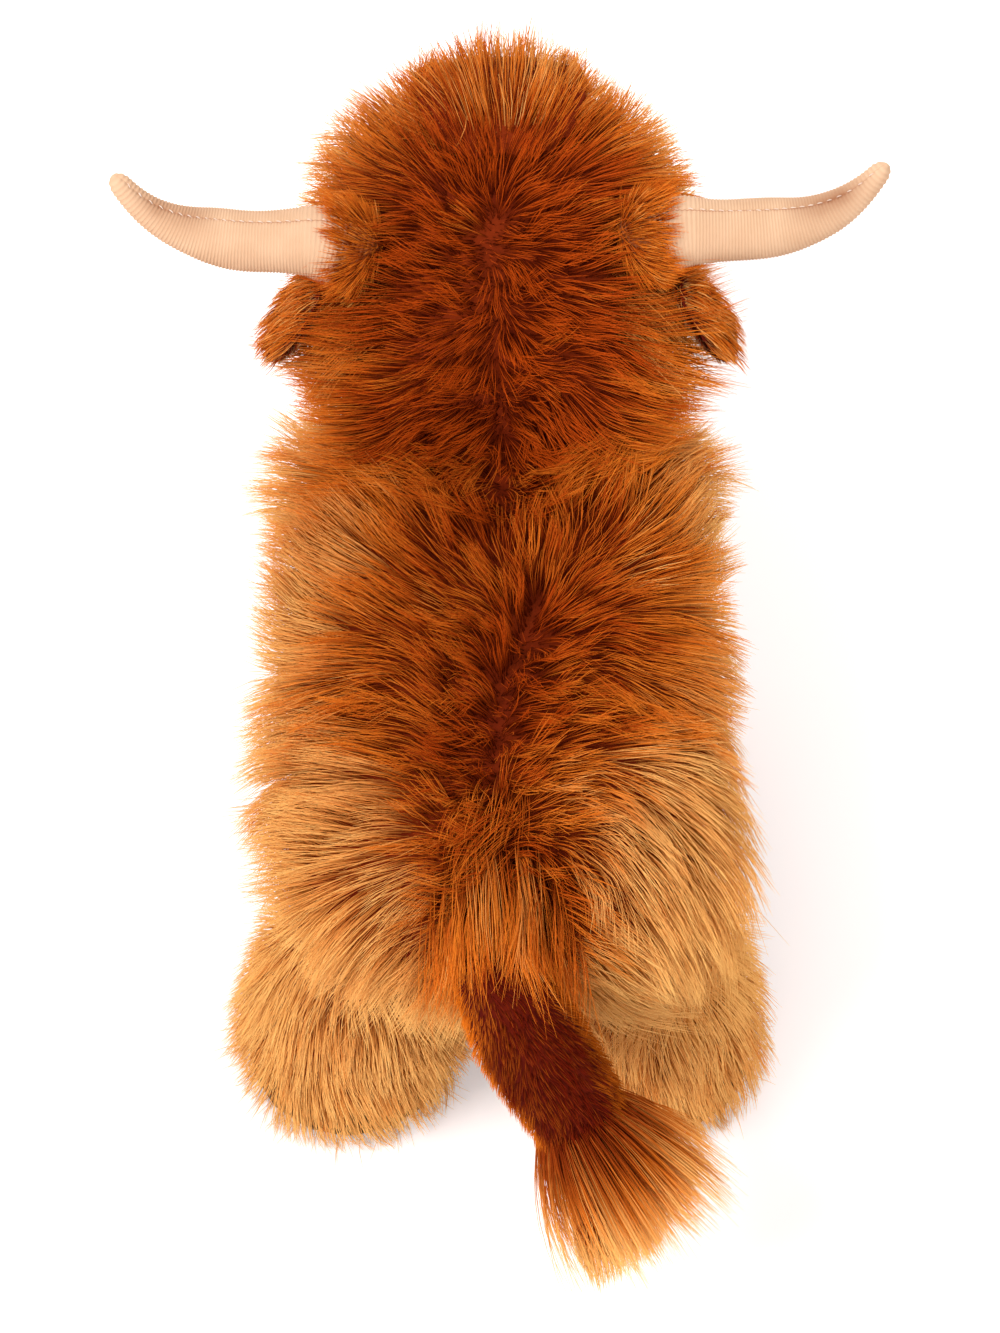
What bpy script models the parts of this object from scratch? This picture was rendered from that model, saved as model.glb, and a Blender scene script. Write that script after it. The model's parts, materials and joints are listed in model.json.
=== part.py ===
"""A plush cow: long-pile pelts, their filling, soles, horns, ears, tail and face.

Metres, +Z up. The cow faces -Y, its left is +X, and it stands on z = 0. The forms are laid out in
stations, each a distance forward of the rear soles, and their surfaces lie where the pile is dense,
a little under the tips of the fur.
"""

import math

import bmesh
import bpy
from mathutils import Matrix, Vector
from mathutils.bvhtree import BVHTree

# Clearances and fabric
SEAM_GAP = 0.0003
TURNING_GAP = 0.0006
OVERRUN = 0.300
PELT_THICKNESS = 0.013
SHORT_PILE_THICKNESS = 0.003
HORN_FABRIC_THICKNESS = 0.002
SOLE_THICKNESS = 0.004

# Body
BODY_LENGTH = 0.265
BODY_REAR = -0.003
BODY_HALF_WIDTH = 0.092
BODY_UNDERSIDE = 0.084
BODY_TOP = 0.218
GUSSET_HALF_WIDTH = 0.040
GUSSET_RISE = 0.030
BODY_STATION_SHARES = (
    # along the length, half width, underside, topline
    (0.000, 0.34, 0.50, 0.77),
    (0.040, 0.68, 0.32, 0.87),
    (0.150, 0.95, 0.10, 0.93),
    (0.380, 1.00, 0.00, 0.93),
    (0.660, 1.00, 0.01, 0.97),
    (0.910, 0.95, 0.09, 0.95),
    (1.000, 0.68, 0.28, 0.78),
)

# Head
HEAD_LENGTH = 0.172
HEAD_HALF_WIDTH = 0.080
HEAD_HEIGHT = 0.140
HEAD_OVER_BODY = 0.060
HEAD_ABOVE_BODY = 0.068
HEAD_REAR = BODY_REAR + BODY_LENGTH - HEAD_OVER_BODY
HEAD_FRONT = HEAD_REAR + HEAD_LENGTH
HEAD_TOP = BODY_TOP + HEAD_ABOVE_BODY
HEAD_UNDERSIDE = HEAD_TOP - HEAD_HEIGHT
HEAD_STATION_SHARES = (
    (0.00, 0.76, 0.12, 0.66),
    (0.24, 0.93, 0.02, 0.90),
    (0.52, 1.00, 0.00, 1.00),
    (0.80, 0.94, 0.03, 0.92),
    (0.94, 0.76, 0.12, 0.79),
    (1.00, 0.48, 0.24, 0.62),
)

# Muzzle
MUZZLE_LENGTH = 0.062
MUZZLE_HALF_WIDTH = 0.037
MUZZLE_HEIGHT = 0.060
MUZZLE_SINK = 0.036
MUZZLE_RISE = 0.004
MUZZLE_REAR = HEAD_FRONT - MUZZLE_SINK
MUZZLE_UNDERSIDE = HEAD_UNDERSIDE + MUZZLE_RISE
MUZZLE_TOP = MUZZLE_UNDERSIDE + MUZZLE_HEIGHT
MUZZLE_STATION_SHARES = (
    (0.00, 0.86, 0.04, 1.00),
    (0.45, 0.96, 0.00, 0.97),
    (0.80, 1.00, 0.02, 0.84),
    (0.95, 0.82, 0.10, 0.72),
    (1.00, 0.50, 0.24, 0.58),
)

# Forelock
FORELOCK_LENGTH = 0.088
FORELOCK_HALF_WIDTH = 0.044
FORELOCK_DROP = 0.083
FORELOCK_LIFT = 0.002
FORELOCK_BEHIND_FRONT = 0.082
FORELOCK_REAR = HEAD_FRONT - FORELOCK_BEHIND_FRONT
FORELOCK_TOP = HEAD_TOP + FORELOCK_LIFT
FORELOCK_UNDERSIDE = FORELOCK_TOP - FORELOCK_DROP
FORELOCK_STATION_SHARES = (
    (0.00, 0.52, 0.72, 0.92),
    (0.22, 0.82, 0.50, 1.00),
    (0.55, 1.00, 0.26, 0.97),
    (0.82, 0.94, 0.06, 0.82),
    (1.00, 0.66, 0.00, 0.52),
)

# Legs
REAR_LEG_INSET = 0.051
REAR_LEG_ACROSS = 0.064
REAR_LEG_HALF_WIDTH = 0.049
REAR_LEG_HALF_LENGTH = 0.050
REAR_LEG_INTO_BODY = 0.044
REAR_LEG_FORWARD = BODY_REAR + REAR_LEG_INSET
REAR_LEG_HEIGHT = BODY_UNDERSIDE + REAR_LEG_INTO_BODY
FRONT_LEG_INSET = 0.062
FRONT_LEG_ACROSS = 0.058
FRONT_LEG_HALF_WIDTH = 0.042
FRONT_LEG_HALF_LENGTH = 0.044
FRONT_LEG_INTO_BODY = 0.054
FRONT_LEG_FORWARD = BODY_REAR + BODY_LENGTH - FRONT_LEG_INSET
FRONT_LEG_HEIGHT = BODY_UNDERSIDE + FRONT_LEG_INTO_BODY
LEG_STATION_SHARES = (
    # up the leg, half width, half length
    (-0.12, 0.86, 0.86),
    (0.06, 0.98, 0.98),
    (0.28, 0.99, 0.99),
    (0.60, 0.87, 0.90),
    (1.00, 0.72, 0.80),
)
LEG_LEAN_SHARE = 0.22

# Horns
HORN_AHEAD = 0.071
HORN_BELOW_TOP = 0.026
HORN_FORWARD = HEAD_REAR + HORN_AHEAD
HORN_HEIGHT = HEAD_TOP - HORN_BELOW_TOP
HORN_ROOT_ACROSS = 0.040
HORN_TIP_ACROSS = 0.153
HORN_TIP_RISE = 0.028
HORN_TIP_REACH = 0.014
HORN_ROOT_RADIUS = 0.0165
HORN_CURL_POWER = 4.6
HORN_STATION_SHARES = (
    # along the horn, radius
    (0.00, 1.00),
    (0.20, 0.98),
    (0.45, 0.80),
    (0.66, 0.71),
    (0.82, 0.60),
    (0.95, 0.42),
    (1.00, 0.20),
)

# Ears
EAR_AHEAD = 0.060
EAR_BELOW_TOP = 0.048
EAR_FORWARD = HEAD_REAR + EAR_AHEAD
EAR_HEIGHT = HEAD_TOP - EAR_BELOW_TOP
EAR_LENGTH = 0.043
EAR_HALF_WIDTH = 0.019
EAR_HALF_THICKNESS = 0.0042
EAR_HANG = math.radians(56)
EAR_SWEEP = math.radians(11)
EAR_STATION_SHARES = (
    # along the ear, half width, half thickness
    (-0.085, 0.42, 0.45),
    (0.00, 0.56, 0.95),
    (0.22, 0.84, 0.98),
    (0.52, 1.00, 1.00),
    (0.82, 0.76, 0.86),
    (1.00, 0.30, 0.50),
)

# Tail
TAIL_BELOW_TOP = 0.031
TAIL_HEIGHT = BODY_TOP - TAIL_BELOW_TOP
TAIL_LENGTH = 0.071
TAIL_RADIUS = 0.0195
TAIL_BALL_RADIUS = 0.0165
TAIL_STANDOFF = 0.0159
TAIL_DROOP = math.radians(50)
TAIL_SWING = math.radians(39)
TAIL_STATION_SHARES = (
    # along the tail, radius
    (0.10, 0.84),
    (0.38, 1.00),
    (0.80, 0.97),
    (1.25, 0.88),
)
TAIL_MOUTH_SHARE = 0.98

# Tuft
TUFT_LENGTH = 0.053
TUFT_TURN = math.radians(13)
TUFT_BALL_RADIUS = 0.0125
TUFT_HALF_WIDTH = 0.036
TUFT_HALF_DEPTH = 0.021
TUFT_STATION_SHARES = (
    # along the tuft, half width, half depth
    (0.04, 0.32, 0.54),
    (0.16, 0.44, 0.74),
    (0.36, 0.70, 0.98),
    (0.62, 0.94, 1.00),
    (0.84, 1.00, 0.80),
    (1.00, 0.80, 0.44),
)

# Rounded ends of the tail and the tuft, as angles behind their pivots
BALL_END_ANGLES = (math.radians(-80), math.radians(-50), math.radians(-15))

# Eyes
EYE_RADIUS = 0.0075
EYE_DOME_HEIGHT = 0.0048
EYE_FLANGE_THICKNESS = 0.0012
EYE_SHANK_RADIUS = 0.0024
EYE_ACROSS = 0.041
EYE_BELOW_TOP = 0.069
EYE_HEIGHT = HEAD_TOP - EYE_BELOW_TOP
WASHER_RADIUS = 0.0080
WASHER_THICKNESS = 0.0020
WASHER_BORE_GAP = 0.0004
SHANK_PROUD = 0.0030

# Shading
FINISHES = {
    "long_pile": ((0.42, 0.17, 0.045, 1.0), 0.9),
    "short_pile": ((0.16, 0.035, 0.010, 1.0), 0.9),
    "horn_fabric": ((0.86, 0.66, 0.46, 1.0), 0.8),
    "filling": ((0.86, 0.85, 0.82, 1.0), 1.0),
    "sole_fabric": ((0.22, 0.12, 0.06, 1.0), 0.9),
    "muzzle_fabric": ((0.72, 0.50, 0.34, 1.0), 0.85),
    "eye_plastic": ((0.020, 0.012, 0.008, 1.0), 0.12),
    "washer_plastic": ((0.80, 0.80, 0.78, 1.0), 0.5),
}

FORM_SIDES = 10
LIMB_SIDES = 8
SMALL_SIDES = 6
ROUND_STEPS = 16
SHARP_ANGLE = math.radians(40)
LEFT = 1
RIGHT = -1
SIDE_NAMES = {LEFT: "left", RIGHT: "right"}


def clear_scene():
    for obj in list(bpy.data.objects):
        bpy.data.objects.remove(obj, do_unlink=True)


def new_collection(name):
    collection = bpy.data.collections.new(name)
    bpy.context.scene.collection.children.link(collection)
    return collection


def new_material(name):
    colour, roughness = FINISHES[name]
    material = bpy.data.materials.new(name)
    material.use_nodes = True
    shader = material.node_tree.nodes["Principled BSDF"]
    shader.inputs["Base Color"].default_value = colour
    shader.inputs["Roughness"].default_value = roughness
    shader.inputs["Metallic"].default_value = 0.0
    material.diffuse_color = colour
    return material


def point(across, forward, height):
    """A place given as across to the cow's left, forward of the rear soles, and up."""
    return Vector((across, -forward, height))


class Workshop:
    """The collections, materials and parent empties that every piece is put under."""

    def __init__(self):
        self.parts = new_collection("plush_cow")
        self.cutters = new_collection("cutters")
        self.materials = {name: new_material(name) for name in FINISHES}
        self.origin = self.empty("cow_origin", Vector())

    def empty(self, name, place, parent=None):
        pivot = bpy.data.objects.new(name, None)
        pivot.location = place - (parent.location if parent else Vector())
        pivot.parent = parent
        self.parts.objects.link(pivot)
        return pivot

    def part(self, name, mesh, finish, pivot=None):
        """A node whose mesh is drawn in place, and whose origin sits on its pivot."""
        pivot = pivot or self.origin
        piece = bpy.data.objects.new(name, mesh.copy())
        piece.data.materials.append(self.materials[finish])
        place = Vector()
        carrier = pivot
        while carrier:
            place += carrier.location
            carrier = carrier.parent
        piece.data.transform(Matrix.Translation(-place))
        piece.data.shade_smooth()
        piece.parent = pivot
        self.parts.objects.link(piece)
        return piece

    def cutter(self, name, mesh):
        tool = bpy.data.objects.new(name, mesh)
        tool.hide_render = True
        tool.display_type = "WIRE"
        tool.parent = self.origin
        self.cutters.objects.link(tool)
        return tool


def boolean(piece, tool, operation):
    modifier = piece.modifiers.new(f"{operation.lower()} {tool.name}", "BOOLEAN")
    modifier.operation = operation
    modifier.object = tool


def cut(piece, *tools):
    for tool in tools:
        boolean(piece, tool, "DIFFERENCE")


def keep(piece, tool):
    boolean(piece, tool, "INTERSECT")


def box_mesh(low, high):
    bm = bmesh.new()
    bmesh.ops.create_cube(bm, size=1.0)
    size = Vector(high) - Vector(low)
    middle = (Vector(high) + Vector(low)) / 2
    bm.transform(Matrix.Translation(middle) @ Matrix.Diagonal((*size, 1.0)))
    return finish_mesh(bm, "box")


def ball_mesh(centre, radius):
    bm = bmesh.new()
    bmesh.ops.create_uvsphere(bm, u_segments=ROUND_STEPS, v_segments=ROUND_STEPS // 2, radius=radius)
    bm.transform(Matrix.Translation(centre))
    return finish_mesh(bm, "ball")


def rod_mesh(start, end, radius):
    """A cylinder between two points."""
    bm = bmesh.new()
    run = end - start
    bmesh.ops.create_cone(
        bm, cap_ends=True, segments=ROUND_STEPS, radius1=radius, radius2=radius, depth=run.length
    )
    turn = run.to_track_quat("Z", "Y").to_matrix().to_4x4()
    bm.transform(Matrix.Translation((start + end) / 2) @ turn)
    return finish_mesh(bm, "rod")


def finish_mesh(bm, name):
    bm.normal_update()
    bmesh.ops.recalc_face_normals(bm, faces=bm.faces)
    if bm.calc_volume(signed=True) < 0:
        bmesh.ops.reverse_faces(bm, faces=bm.faces)
    mesh = bpy.data.meshes.new(name)
    bm.to_mesh(mesh)
    bm.free()
    return mesh


def ring_frame(centre, run, across):
    """Axes of a station: X across it, Y up it, Z along the form."""
    along = run.normalized()
    up = along.cross(across).normalized()
    level = up.cross(along)
    return Matrix.Translation(centre) @ Matrix((level, up, along)).transposed().to_4x4()


def soft_form(name, stations, sides):
    """A stuffed form: rings of a coarse cage, bridged, closed and subdivided once.

    Each station is (frame, half width, half height). Subdivision draws a ring of a few sides
    inwards, so each ring starts larger by that amount.
    """
    draw_in = 0.75 + 0.25 * math.cos(math.tau / sides)
    bm = bmesh.new()
    loops = []
    for index, (frame, half_width, half_height) in enumerate(stations):
        size = Matrix.Diagonal((half_width / draw_in, half_height / draw_in, 1.0, 1.0))
        made = bmesh.ops.create_circle(
            bm,
            segments=sides,
            radius=1.0,
            cap_ends=index in (0, len(stations) - 1),
            matrix=frame @ size,
        )
        ring = set(made["verts"])
        loops.append([edge for edge in bm.edges if set(edge.verts) <= ring])
    for near, far in zip(loops, loops[1:]):
        bmesh.ops.bridge_loops(bm, edges=near + far)
    cage = bpy.data.objects.new(name, finish_mesh(bm, name))
    bpy.context.scene.collection.objects.link(cage)
    subdivision = cage.modifiers.new("subdivision", "SUBSURF")
    subdivision.levels = subdivision.render_levels = 1
    solid = cage.evaluated_get(bpy.context.evaluated_depsgraph_get())
    bm = bmesh.new()
    bm.from_mesh(bpy.data.meshes.new_from_object(solid))
    bmesh.ops.triangulate(bm, faces=bm.faces)
    bpy.data.objects.remove(cage, do_unlink=True)
    return finish_mesh(bm, name)


def offset(mesh, distance):
    """The same surface moved out along its normals, or in where the distance is negative."""
    bm = bmesh.new()
    bm.from_mesh(mesh)
    bm.normal_update()
    for vert in bm.verts:
        vert.co += vert.normal * distance * vert.calc_shell_factor()
    return finish_mesh(bm, "offset")


def lengthwise_form(name, rear, length, half_width, underside, top, station_shares, sides):
    """A form that lies along the cow, from rear to rear + length."""
    height = top - underside
    stations = []
    for along, width, low, high in station_shares:
        centre = point(0.0, rear + along * length, underside + height * (low + high) / 2)
        frame = ring_frame(centre, point(0, 1, 0), Vector((1, 0, 0)))
        stations.append((frame, half_width * width, height * (high - low) / 2))
    return soft_form(name, stations, sides)


def surface_hit(mesh, start, towards):
    """Where a line from start meets the surface, and the outward normal there."""
    bm = bmesh.new()
    bm.from_mesh(mesh)
    place, normal, _, _ = BVHTree.FromBMesh(bm).ray_cast(start, towards)
    bm.free()
    return place, normal


def half_space(shop, name, side):
    """Everything on one side of the dorsal seam."""
    near = side * SEAM_GAP / 2
    far = side * OVERRUN
    low = (min(near, far), -2 * OVERRUN, -OVERRUN)
    high = (max(near, far), OVERRUN, 2 * OVERRUN)
    return shop.cutter(name, box_mesh(low, high))


def gusset_box(margin):
    half_width = GUSSET_HALF_WIDTH + margin
    low = (-half_width, -2 * OVERRUN, -OVERRUN)
    high = (half_width, OVERRUN, BODY_UNDERSIDE + GUSSET_RISE + margin)
    return box_mesh(low, high)


def body_surface():
    return lengthwise_form(
        "body_form",
        BODY_REAR,
        BODY_LENGTH,
        BODY_HALF_WIDTH,
        BODY_UNDERSIDE,
        BODY_TOP,
        BODY_STATION_SHARES,
        FORM_SIDES,
    )


def make_body(shop, outer):
    hollow = shop.cutter("body_hollow", offset(outer, -PELT_THICKNESS))
    gusset_room = shop.cutter("gusset_room", gusset_box(SEAM_GAP))
    for side, side_name in SIDE_NAMES.items():
        pelt = shop.part(f"body_pelt_{side_name}", outer, "long_pile")
        cut(pelt, hollow, gusset_room)
        keep(pelt, half_space(shop, f"body_half_{side_name}", side))
    gusset = shop.part("belly_gusset", outer, "long_pile")
    cut(gusset, hollow)
    keep(gusset, shop.cutter("gusset_region", gusset_box(0.0)))
    shop.part("body_filling", offset(outer, -PELT_THICKNESS - SEAM_GAP), "filling")


def make_head(shop, body):
    outer = head_surface()
    hollow = shop.cutter("head_hollow", offset(outer, -PELT_THICKNESS))
    neck_room = shop.cutter("neck_room", offset(body, SEAM_GAP))
    pelts = {}
    for side, side_name in SIDE_NAMES.items():
        pelt = shop.part(f"head_pelt_{side_name}", outer, "long_pile")
        cut(pelt, hollow, neck_room)
        keep(pelt, half_space(shop, f"head_half_{side_name}", side))
        pelts[side] = pelt
    filling = shop.part("head_filling", offset(outer, -PELT_THICKNESS - SEAM_GAP), "filling")
    cut(filling, neck_room)
    for side, side_name in SIDE_NAMES.items():
        make_eye(shop, outer, side, side_name, pelts[side], filling)
    return outer, neck_room


def head_surface():
    return lengthwise_form(
        "head_form",
        HEAD_REAR,
        HEAD_LENGTH,
        HEAD_HALF_WIDTH,
        HEAD_UNDERSIDE,
        HEAD_TOP,
        HEAD_STATION_SHARES,
        FORM_SIDES,
    )


def make_eye(shop, head, side, side_name, pelt, filling):
    """A safety eye: a dome on a shank through the pelt, locked by a washer inside it."""
    in_front = point(side * EYE_ACROSS, HEAD_FRONT + OVERRUN, EYE_HEIGHT)
    seat, normal = surface_hit(head, in_front, point(0, -1, 0))
    turn = normal.to_track_quat("Z", "Y").to_matrix().to_4x4()
    place = Matrix.Translation(seat + normal * SEAM_GAP) @ turn
    eye = shop.part(f"eye_{side_name}", eye_mesh(place), "eye_plastic")
    eye.data.set_sharp_from_angle(angle=SHARP_ANGLE)
    shank_end = seat - normal * (PELT_THICKNESS + WASHER_THICKNESS + SHANK_PROUD)
    inner = seat - normal * PELT_THICKNESS
    over_dome = seat + normal * EYE_DOME_HEIGHT
    bore = rod_mesh(over_dome, shank_end, EYE_SHANK_RADIUS + WASHER_BORE_GAP)
    pocket = rod_mesh(inner, shank_end - normal * SEAM_GAP, WASHER_RADIUS + WASHER_BORE_GAP)
    recess = rod_mesh(over_dome, seat, EYE_RADIUS + WASHER_BORE_GAP)
    washer_pocket = shop.cutter(f"washer_pocket_{side_name}", pocket)
    shank_bore = shop.cutter(f"shank_bore_{side_name}", bore)
    cut(pelt, shank_bore, washer_pocket, shop.cutter(f"eye_recess_{side_name}", recess))
    cut(filling, washer_pocket)
    top = inner - normal * SEAM_GAP
    washer_mesh = rod_mesh(top, top - normal * WASHER_THICKNESS, WASHER_RADIUS)
    cut(shop.part(f"eye_washer_{side_name}", washer_mesh, "washer_plastic"), shank_bore)


def eye_mesh(place):
    """The dome, flange and shank as one turned profile, with the dome along +Z."""
    shank = PELT_THICKNESS + WASHER_THICKNESS + SHANK_PROUD
    profile = [Vector((0, 0, -shank)), Vector((EYE_SHANK_RADIUS, 0, -shank))]
    profile.append(Vector((EYE_SHANK_RADIUS, 0, 0)))
    profile.append(Vector((EYE_RADIUS, 0, 0)))
    steps = ROUND_STEPS // 4
    for step in range(steps + 1):
        angle = math.pi / 2 * step / steps
        height = EYE_FLANGE_THICKNESS + EYE_DOME_HEIGHT * math.sin(angle)
        profile.append(Vector((EYE_RADIUS * math.cos(angle), 0, height)))
    bm = bmesh.new()
    verts = [bm.verts.new(spot) for spot in profile]
    edges = [bm.edges.new(pair) for pair in zip(verts, verts[1:])]
    bmesh.ops.spin(
        bm,
        geom=verts + edges,
        axis=(0, 0, 1),
        cent=(0, 0, 0),
        angle=math.tau,
        steps=ROUND_STEPS,
        use_merge=True,
    )
    bmesh.ops.remove_doubles(bm, verts=bm.verts, dist=SEAM_GAP / 3)
    bm.transform(place)
    return finish_mesh(bm, "eye")


def make_muzzle(shop, head_room):
    outer = lengthwise_form(
        "muzzle_form",
        MUZZLE_REAR,
        MUZZLE_LENGTH,
        MUZZLE_HALF_WIDTH,
        MUZZLE_UNDERSIDE,
        MUZZLE_TOP,
        MUZZLE_STATION_SHARES,
        SMALL_SIDES,
    )
    cover = shop.part("muzzle_cover", outer, "muzzle_fabric")
    cut(cover, shop.cutter("muzzle_hollow", offset(outer, -SHORT_PILE_THICKNESS)), head_room)
    filling = offset(outer, -SHORT_PILE_THICKNESS - SEAM_GAP)
    cut(shop.part("muzzle_filling", filling, "filling"), head_room)


def make_forelock(shop, head_room):
    outer = lengthwise_form(
        "forelock_form",
        FORELOCK_REAR,
        FORELOCK_LENGTH,
        FORELOCK_HALF_WIDTH,
        FORELOCK_UNDERSIDE,
        FORELOCK_TOP,
        FORELOCK_STATION_SHARES,
        SMALL_SIDES,
    )
    cut(shop.part("forelock", outer, "long_pile"), head_room)


def make_leg(shop, name, side, forward, across, half_width, half_length, height, rooms):
    """A pelt tube with its filling, closed under the foot by a flat sole."""
    stations = []
    for along, width, length in LEG_STATION_SHARES:
        lean = LEG_LEAN_SHARE * half_width * max(along, 0.0)
        centre = point(side * (across - lean), forward, along * height)
        frame = ring_frame(centre, point(0, 0, 1), Vector((1, 0, 0)))
        stations.append((frame, half_width * width, half_length * length))
    outer = soft_form(f"{name}_form", stations, LIMB_SIDES)
    reach = 2 * OVERRUN
    below = box_mesh((-reach, -reach, -reach), (reach, reach, 0.0))
    sole_room = box_mesh((-reach, -reach, -reach), (reach, reach, SOLE_THICKNESS + SEAM_GAP))
    above = box_mesh((-reach, -reach, SOLE_THICKNESS), (reach, reach, reach))
    floor = shop.cutter(f"{name}_floor", below)
    sole_cut = shop.cutter(f"{name}_sole_room", sole_room)
    pelt = shop.part(f"{name}_pelt", outer, "long_pile")
    cut(pelt, shop.cutter(f"{name}_hollow", offset(outer, -PELT_THICKNESS)), *rooms, sole_cut)
    filling = shop.part(f"{name}_filling", offset(outer, -PELT_THICKNESS - SEAM_GAP), "filling")
    cut(filling, *rooms, sole_cut)
    sole = shop.part(f"{name}_sole", outer, "sole_fabric")
    cut(sole, floor, shop.cutter(f"{name}_above", above))


def make_legs(shop, rooms):
    rear = (
        REAR_LEG_FORWARD,
        REAR_LEG_ACROSS,
        REAR_LEG_HALF_WIDTH,
        REAR_LEG_HALF_LENGTH,
        REAR_LEG_HEIGHT,
    )
    front = (
        FRONT_LEG_FORWARD,
        FRONT_LEG_ACROSS,
        FRONT_LEG_HALF_WIDTH,
        FRONT_LEG_HALF_LENGTH,
        FRONT_LEG_HEIGHT,
    )
    for end_name, sizes in (("rear", rear), ("front", front)):
        for side, side_name in SIDE_NAMES.items():
            make_leg(shop, f"{end_name}_leg_{side_name}", side, *sizes, rooms)


def horn_place(side, along):
    """A point on the horn's centre line, which runs out and then curls up and forward."""
    across = HORN_ROOT_ACROSS + (HORN_TIP_ACROSS - HORN_ROOT_ACROSS) * along
    curl = along**HORN_CURL_POWER
    forward = HORN_FORWARD + HORN_TIP_REACH * curl
    height = HORN_HEIGHT + HORN_TIP_RISE * curl
    return point(side * across, forward, height)


def make_horn(shop, side, side_name, head_room):
    stations = []
    step = SEAM_GAP / HORN_TIP_ACROSS
    for along, radius in HORN_STATION_SHARES:
        run = horn_place(side, along + step) - horn_place(side, along - step if along else 0.0)
        frame = ring_frame(horn_place(side, along), run, Vector((0, 1, 0)))
        stations.append((frame, HORN_ROOT_RADIUS * radius, HORN_ROOT_RADIUS * radius))
    outer = soft_form(f"horn_form_{side_name}", stations, LIMB_SIDES)
    cover = shop.part(f"horn_cover_{side_name}", outer, "horn_fabric")
    hollow = shop.cutter(f"horn_hollow_{side_name}", offset(outer, -HORN_FABRIC_THICKNESS))
    cut(cover, hollow, head_room)
    filling = offset(outer, -HORN_FABRIC_THICKNESS - SEAM_GAP)
    cut(shop.part(f"horn_filling_{side_name}", filling, "filling"), head_room)


def ear_run(side):
    """The direction in which an ear hangs: outwards, down and a little back."""
    out = math.cos(EAR_HANG) * math.cos(EAR_SWEEP)
    back = -math.sin(EAR_SWEEP)
    return point(side * out, back, -math.sin(EAR_HANG) * math.cos(EAR_SWEEP))


def make_ear(shop, side, side_name, head):
    """A hanging ear in two layers, hinged on the rounded root that rests against the head."""
    seat, normal = surface_hit(
        head, point(side * OVERRUN, EAR_FORWARD, EAR_HEIGHT), point(-side, 0, 0)
    )
    pivot_place = seat + normal * (EAR_HALF_THICKNESS + TURNING_GAP)
    pivot = shop.empty(f"ear_{side_name}_pivot", pivot_place, shop.origin)
    run = ear_run(side)
    width_axis = (Vector((0, 1, 0)) - run * run.y).normalized()
    stations = []
    for along, width, thickness in EAR_STATION_SHARES:
        frame = ring_frame(pivot_place + run * EAR_LENGTH * along, run, width_axis)
        stations.append((frame, EAR_HALF_WIDTH * width, EAR_HALF_THICKNESS * thickness))
    outer = soft_form(f"ear_form_{side_name}", stations, SMALL_SIDES)
    frame = ring_frame(pivot_place, run, width_axis)
    for name, finish, facing in (("back", "short_pile", 1), ("lining", "long_pile", -1)):
        near = side * facing * SEAM_GAP / 2
        far = side * facing * OVERRUN
        low = (-OVERRUN, min(near, far), -OVERRUN)
        high = (OVERRUN, max(near, far), OVERRUN)
        region = box_mesh(low, high)
        region.transform(frame)
        layer = shop.part(f"ear_{name}_{side_name}", outer, finish, pivot)
        keep(layer, shop.cutter(f"ear_{name}_region_{side_name}", region))


def tail_seat(body):
    """The tail's pivot, where its rounded root rests against the rump."""
    seat, normal = surface_hit(body, point(0, BODY_REAR - OVERRUN, TAIL_HEIGHT), point(0, 1, 0))
    lengthwise = Vector((0, normal.y, normal.z)).normalized()
    return seat + lengthwise * TAIL_STANDOFF


def tail_run(swing):
    """The direction of a tail that hangs at its droop, swung to the cow's right."""
    back = -math.cos(TAIL_DROOP) * math.cos(swing)
    right = -math.cos(TAIL_DROOP) * math.sin(swing)
    return point(right, back, -math.sin(TAIL_DROOP))


def ball_end_stations(place, run, across, radius):
    """Rings that round a form off about a pivot."""
    stations = []
    for angle in BALL_END_ANGLES:
        frame = ring_frame(place + run * radius * math.sin(angle), run, across)
        stations.append((frame, radius * math.cos(angle), radius * math.cos(angle)))
    return stations


def make_tail(shop, pivot_place):
    pivot = shop.empty("tail_pivot", pivot_place, shop.origin)
    run = tail_run(TAIL_SWING)
    level = run.cross(Vector((0, 0, 1))).normalized()
    stations = ball_end_stations(pivot_place, run, level, TAIL_BALL_RADIUS)
    for along, radius in TAIL_STATION_SHARES:
        frame = ring_frame(pivot_place + run * TAIL_LENGTH * along, run, level)
        stations.append((frame, TAIL_RADIUS * radius, TAIL_RADIUS * radius))
    outer = soft_form("tail_form", stations, LIMB_SIDES)
    tuft_place = pivot_place + run * TAIL_LENGTH
    mouth = pivot_place + run * TAIL_LENGTH * TAIL_MOUTH_SHARE
    mouth_cut = shop.cutter("tail_mouth", rod_mesh(mouth, mouth + run * OVERRUN, OVERRUN / 2))
    sleeve = shop.part("tail_sleeve", outer, "short_pile", pivot)
    cut(sleeve, shop.cutter("tail_hollow", offset(outer, -SHORT_PILE_THICKNESS)), mouth_cut)
    filling = offset(outer, -SHORT_PILE_THICKNESS - SEAM_GAP)
    filling = shop.part("tail_filling", filling, "filling", pivot)
    room = ball_mesh(tuft_place, TUFT_BALL_RADIUS + TURNING_GAP)
    cut(filling, mouth_cut, shop.cutter("tuft_socket", room))
    make_tuft(shop, tuft_place, pivot)


def make_tuft(shop, place, tail_pivot):
    run = tail_run(TAIL_SWING + TUFT_TURN)
    level = run.cross(Vector((0, 0, 1))).normalized()
    pivot = shop.empty("tuft_pivot", place, tail_pivot)
    stations = ball_end_stations(place, run, level, TUFT_BALL_RADIUS)
    for along, width, depth in TUFT_STATION_SHARES:
        frame = ring_frame(place + run * TUFT_LENGTH * along, run, level)
        stations.append((frame, TUFT_HALF_WIDTH * width, TUFT_HALF_DEPTH * depth))
    outer = soft_form("tuft_form", stations, LIMB_SIDES)
    shop.part("tail_tuft", outer, "long_pile", pivot)


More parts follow.
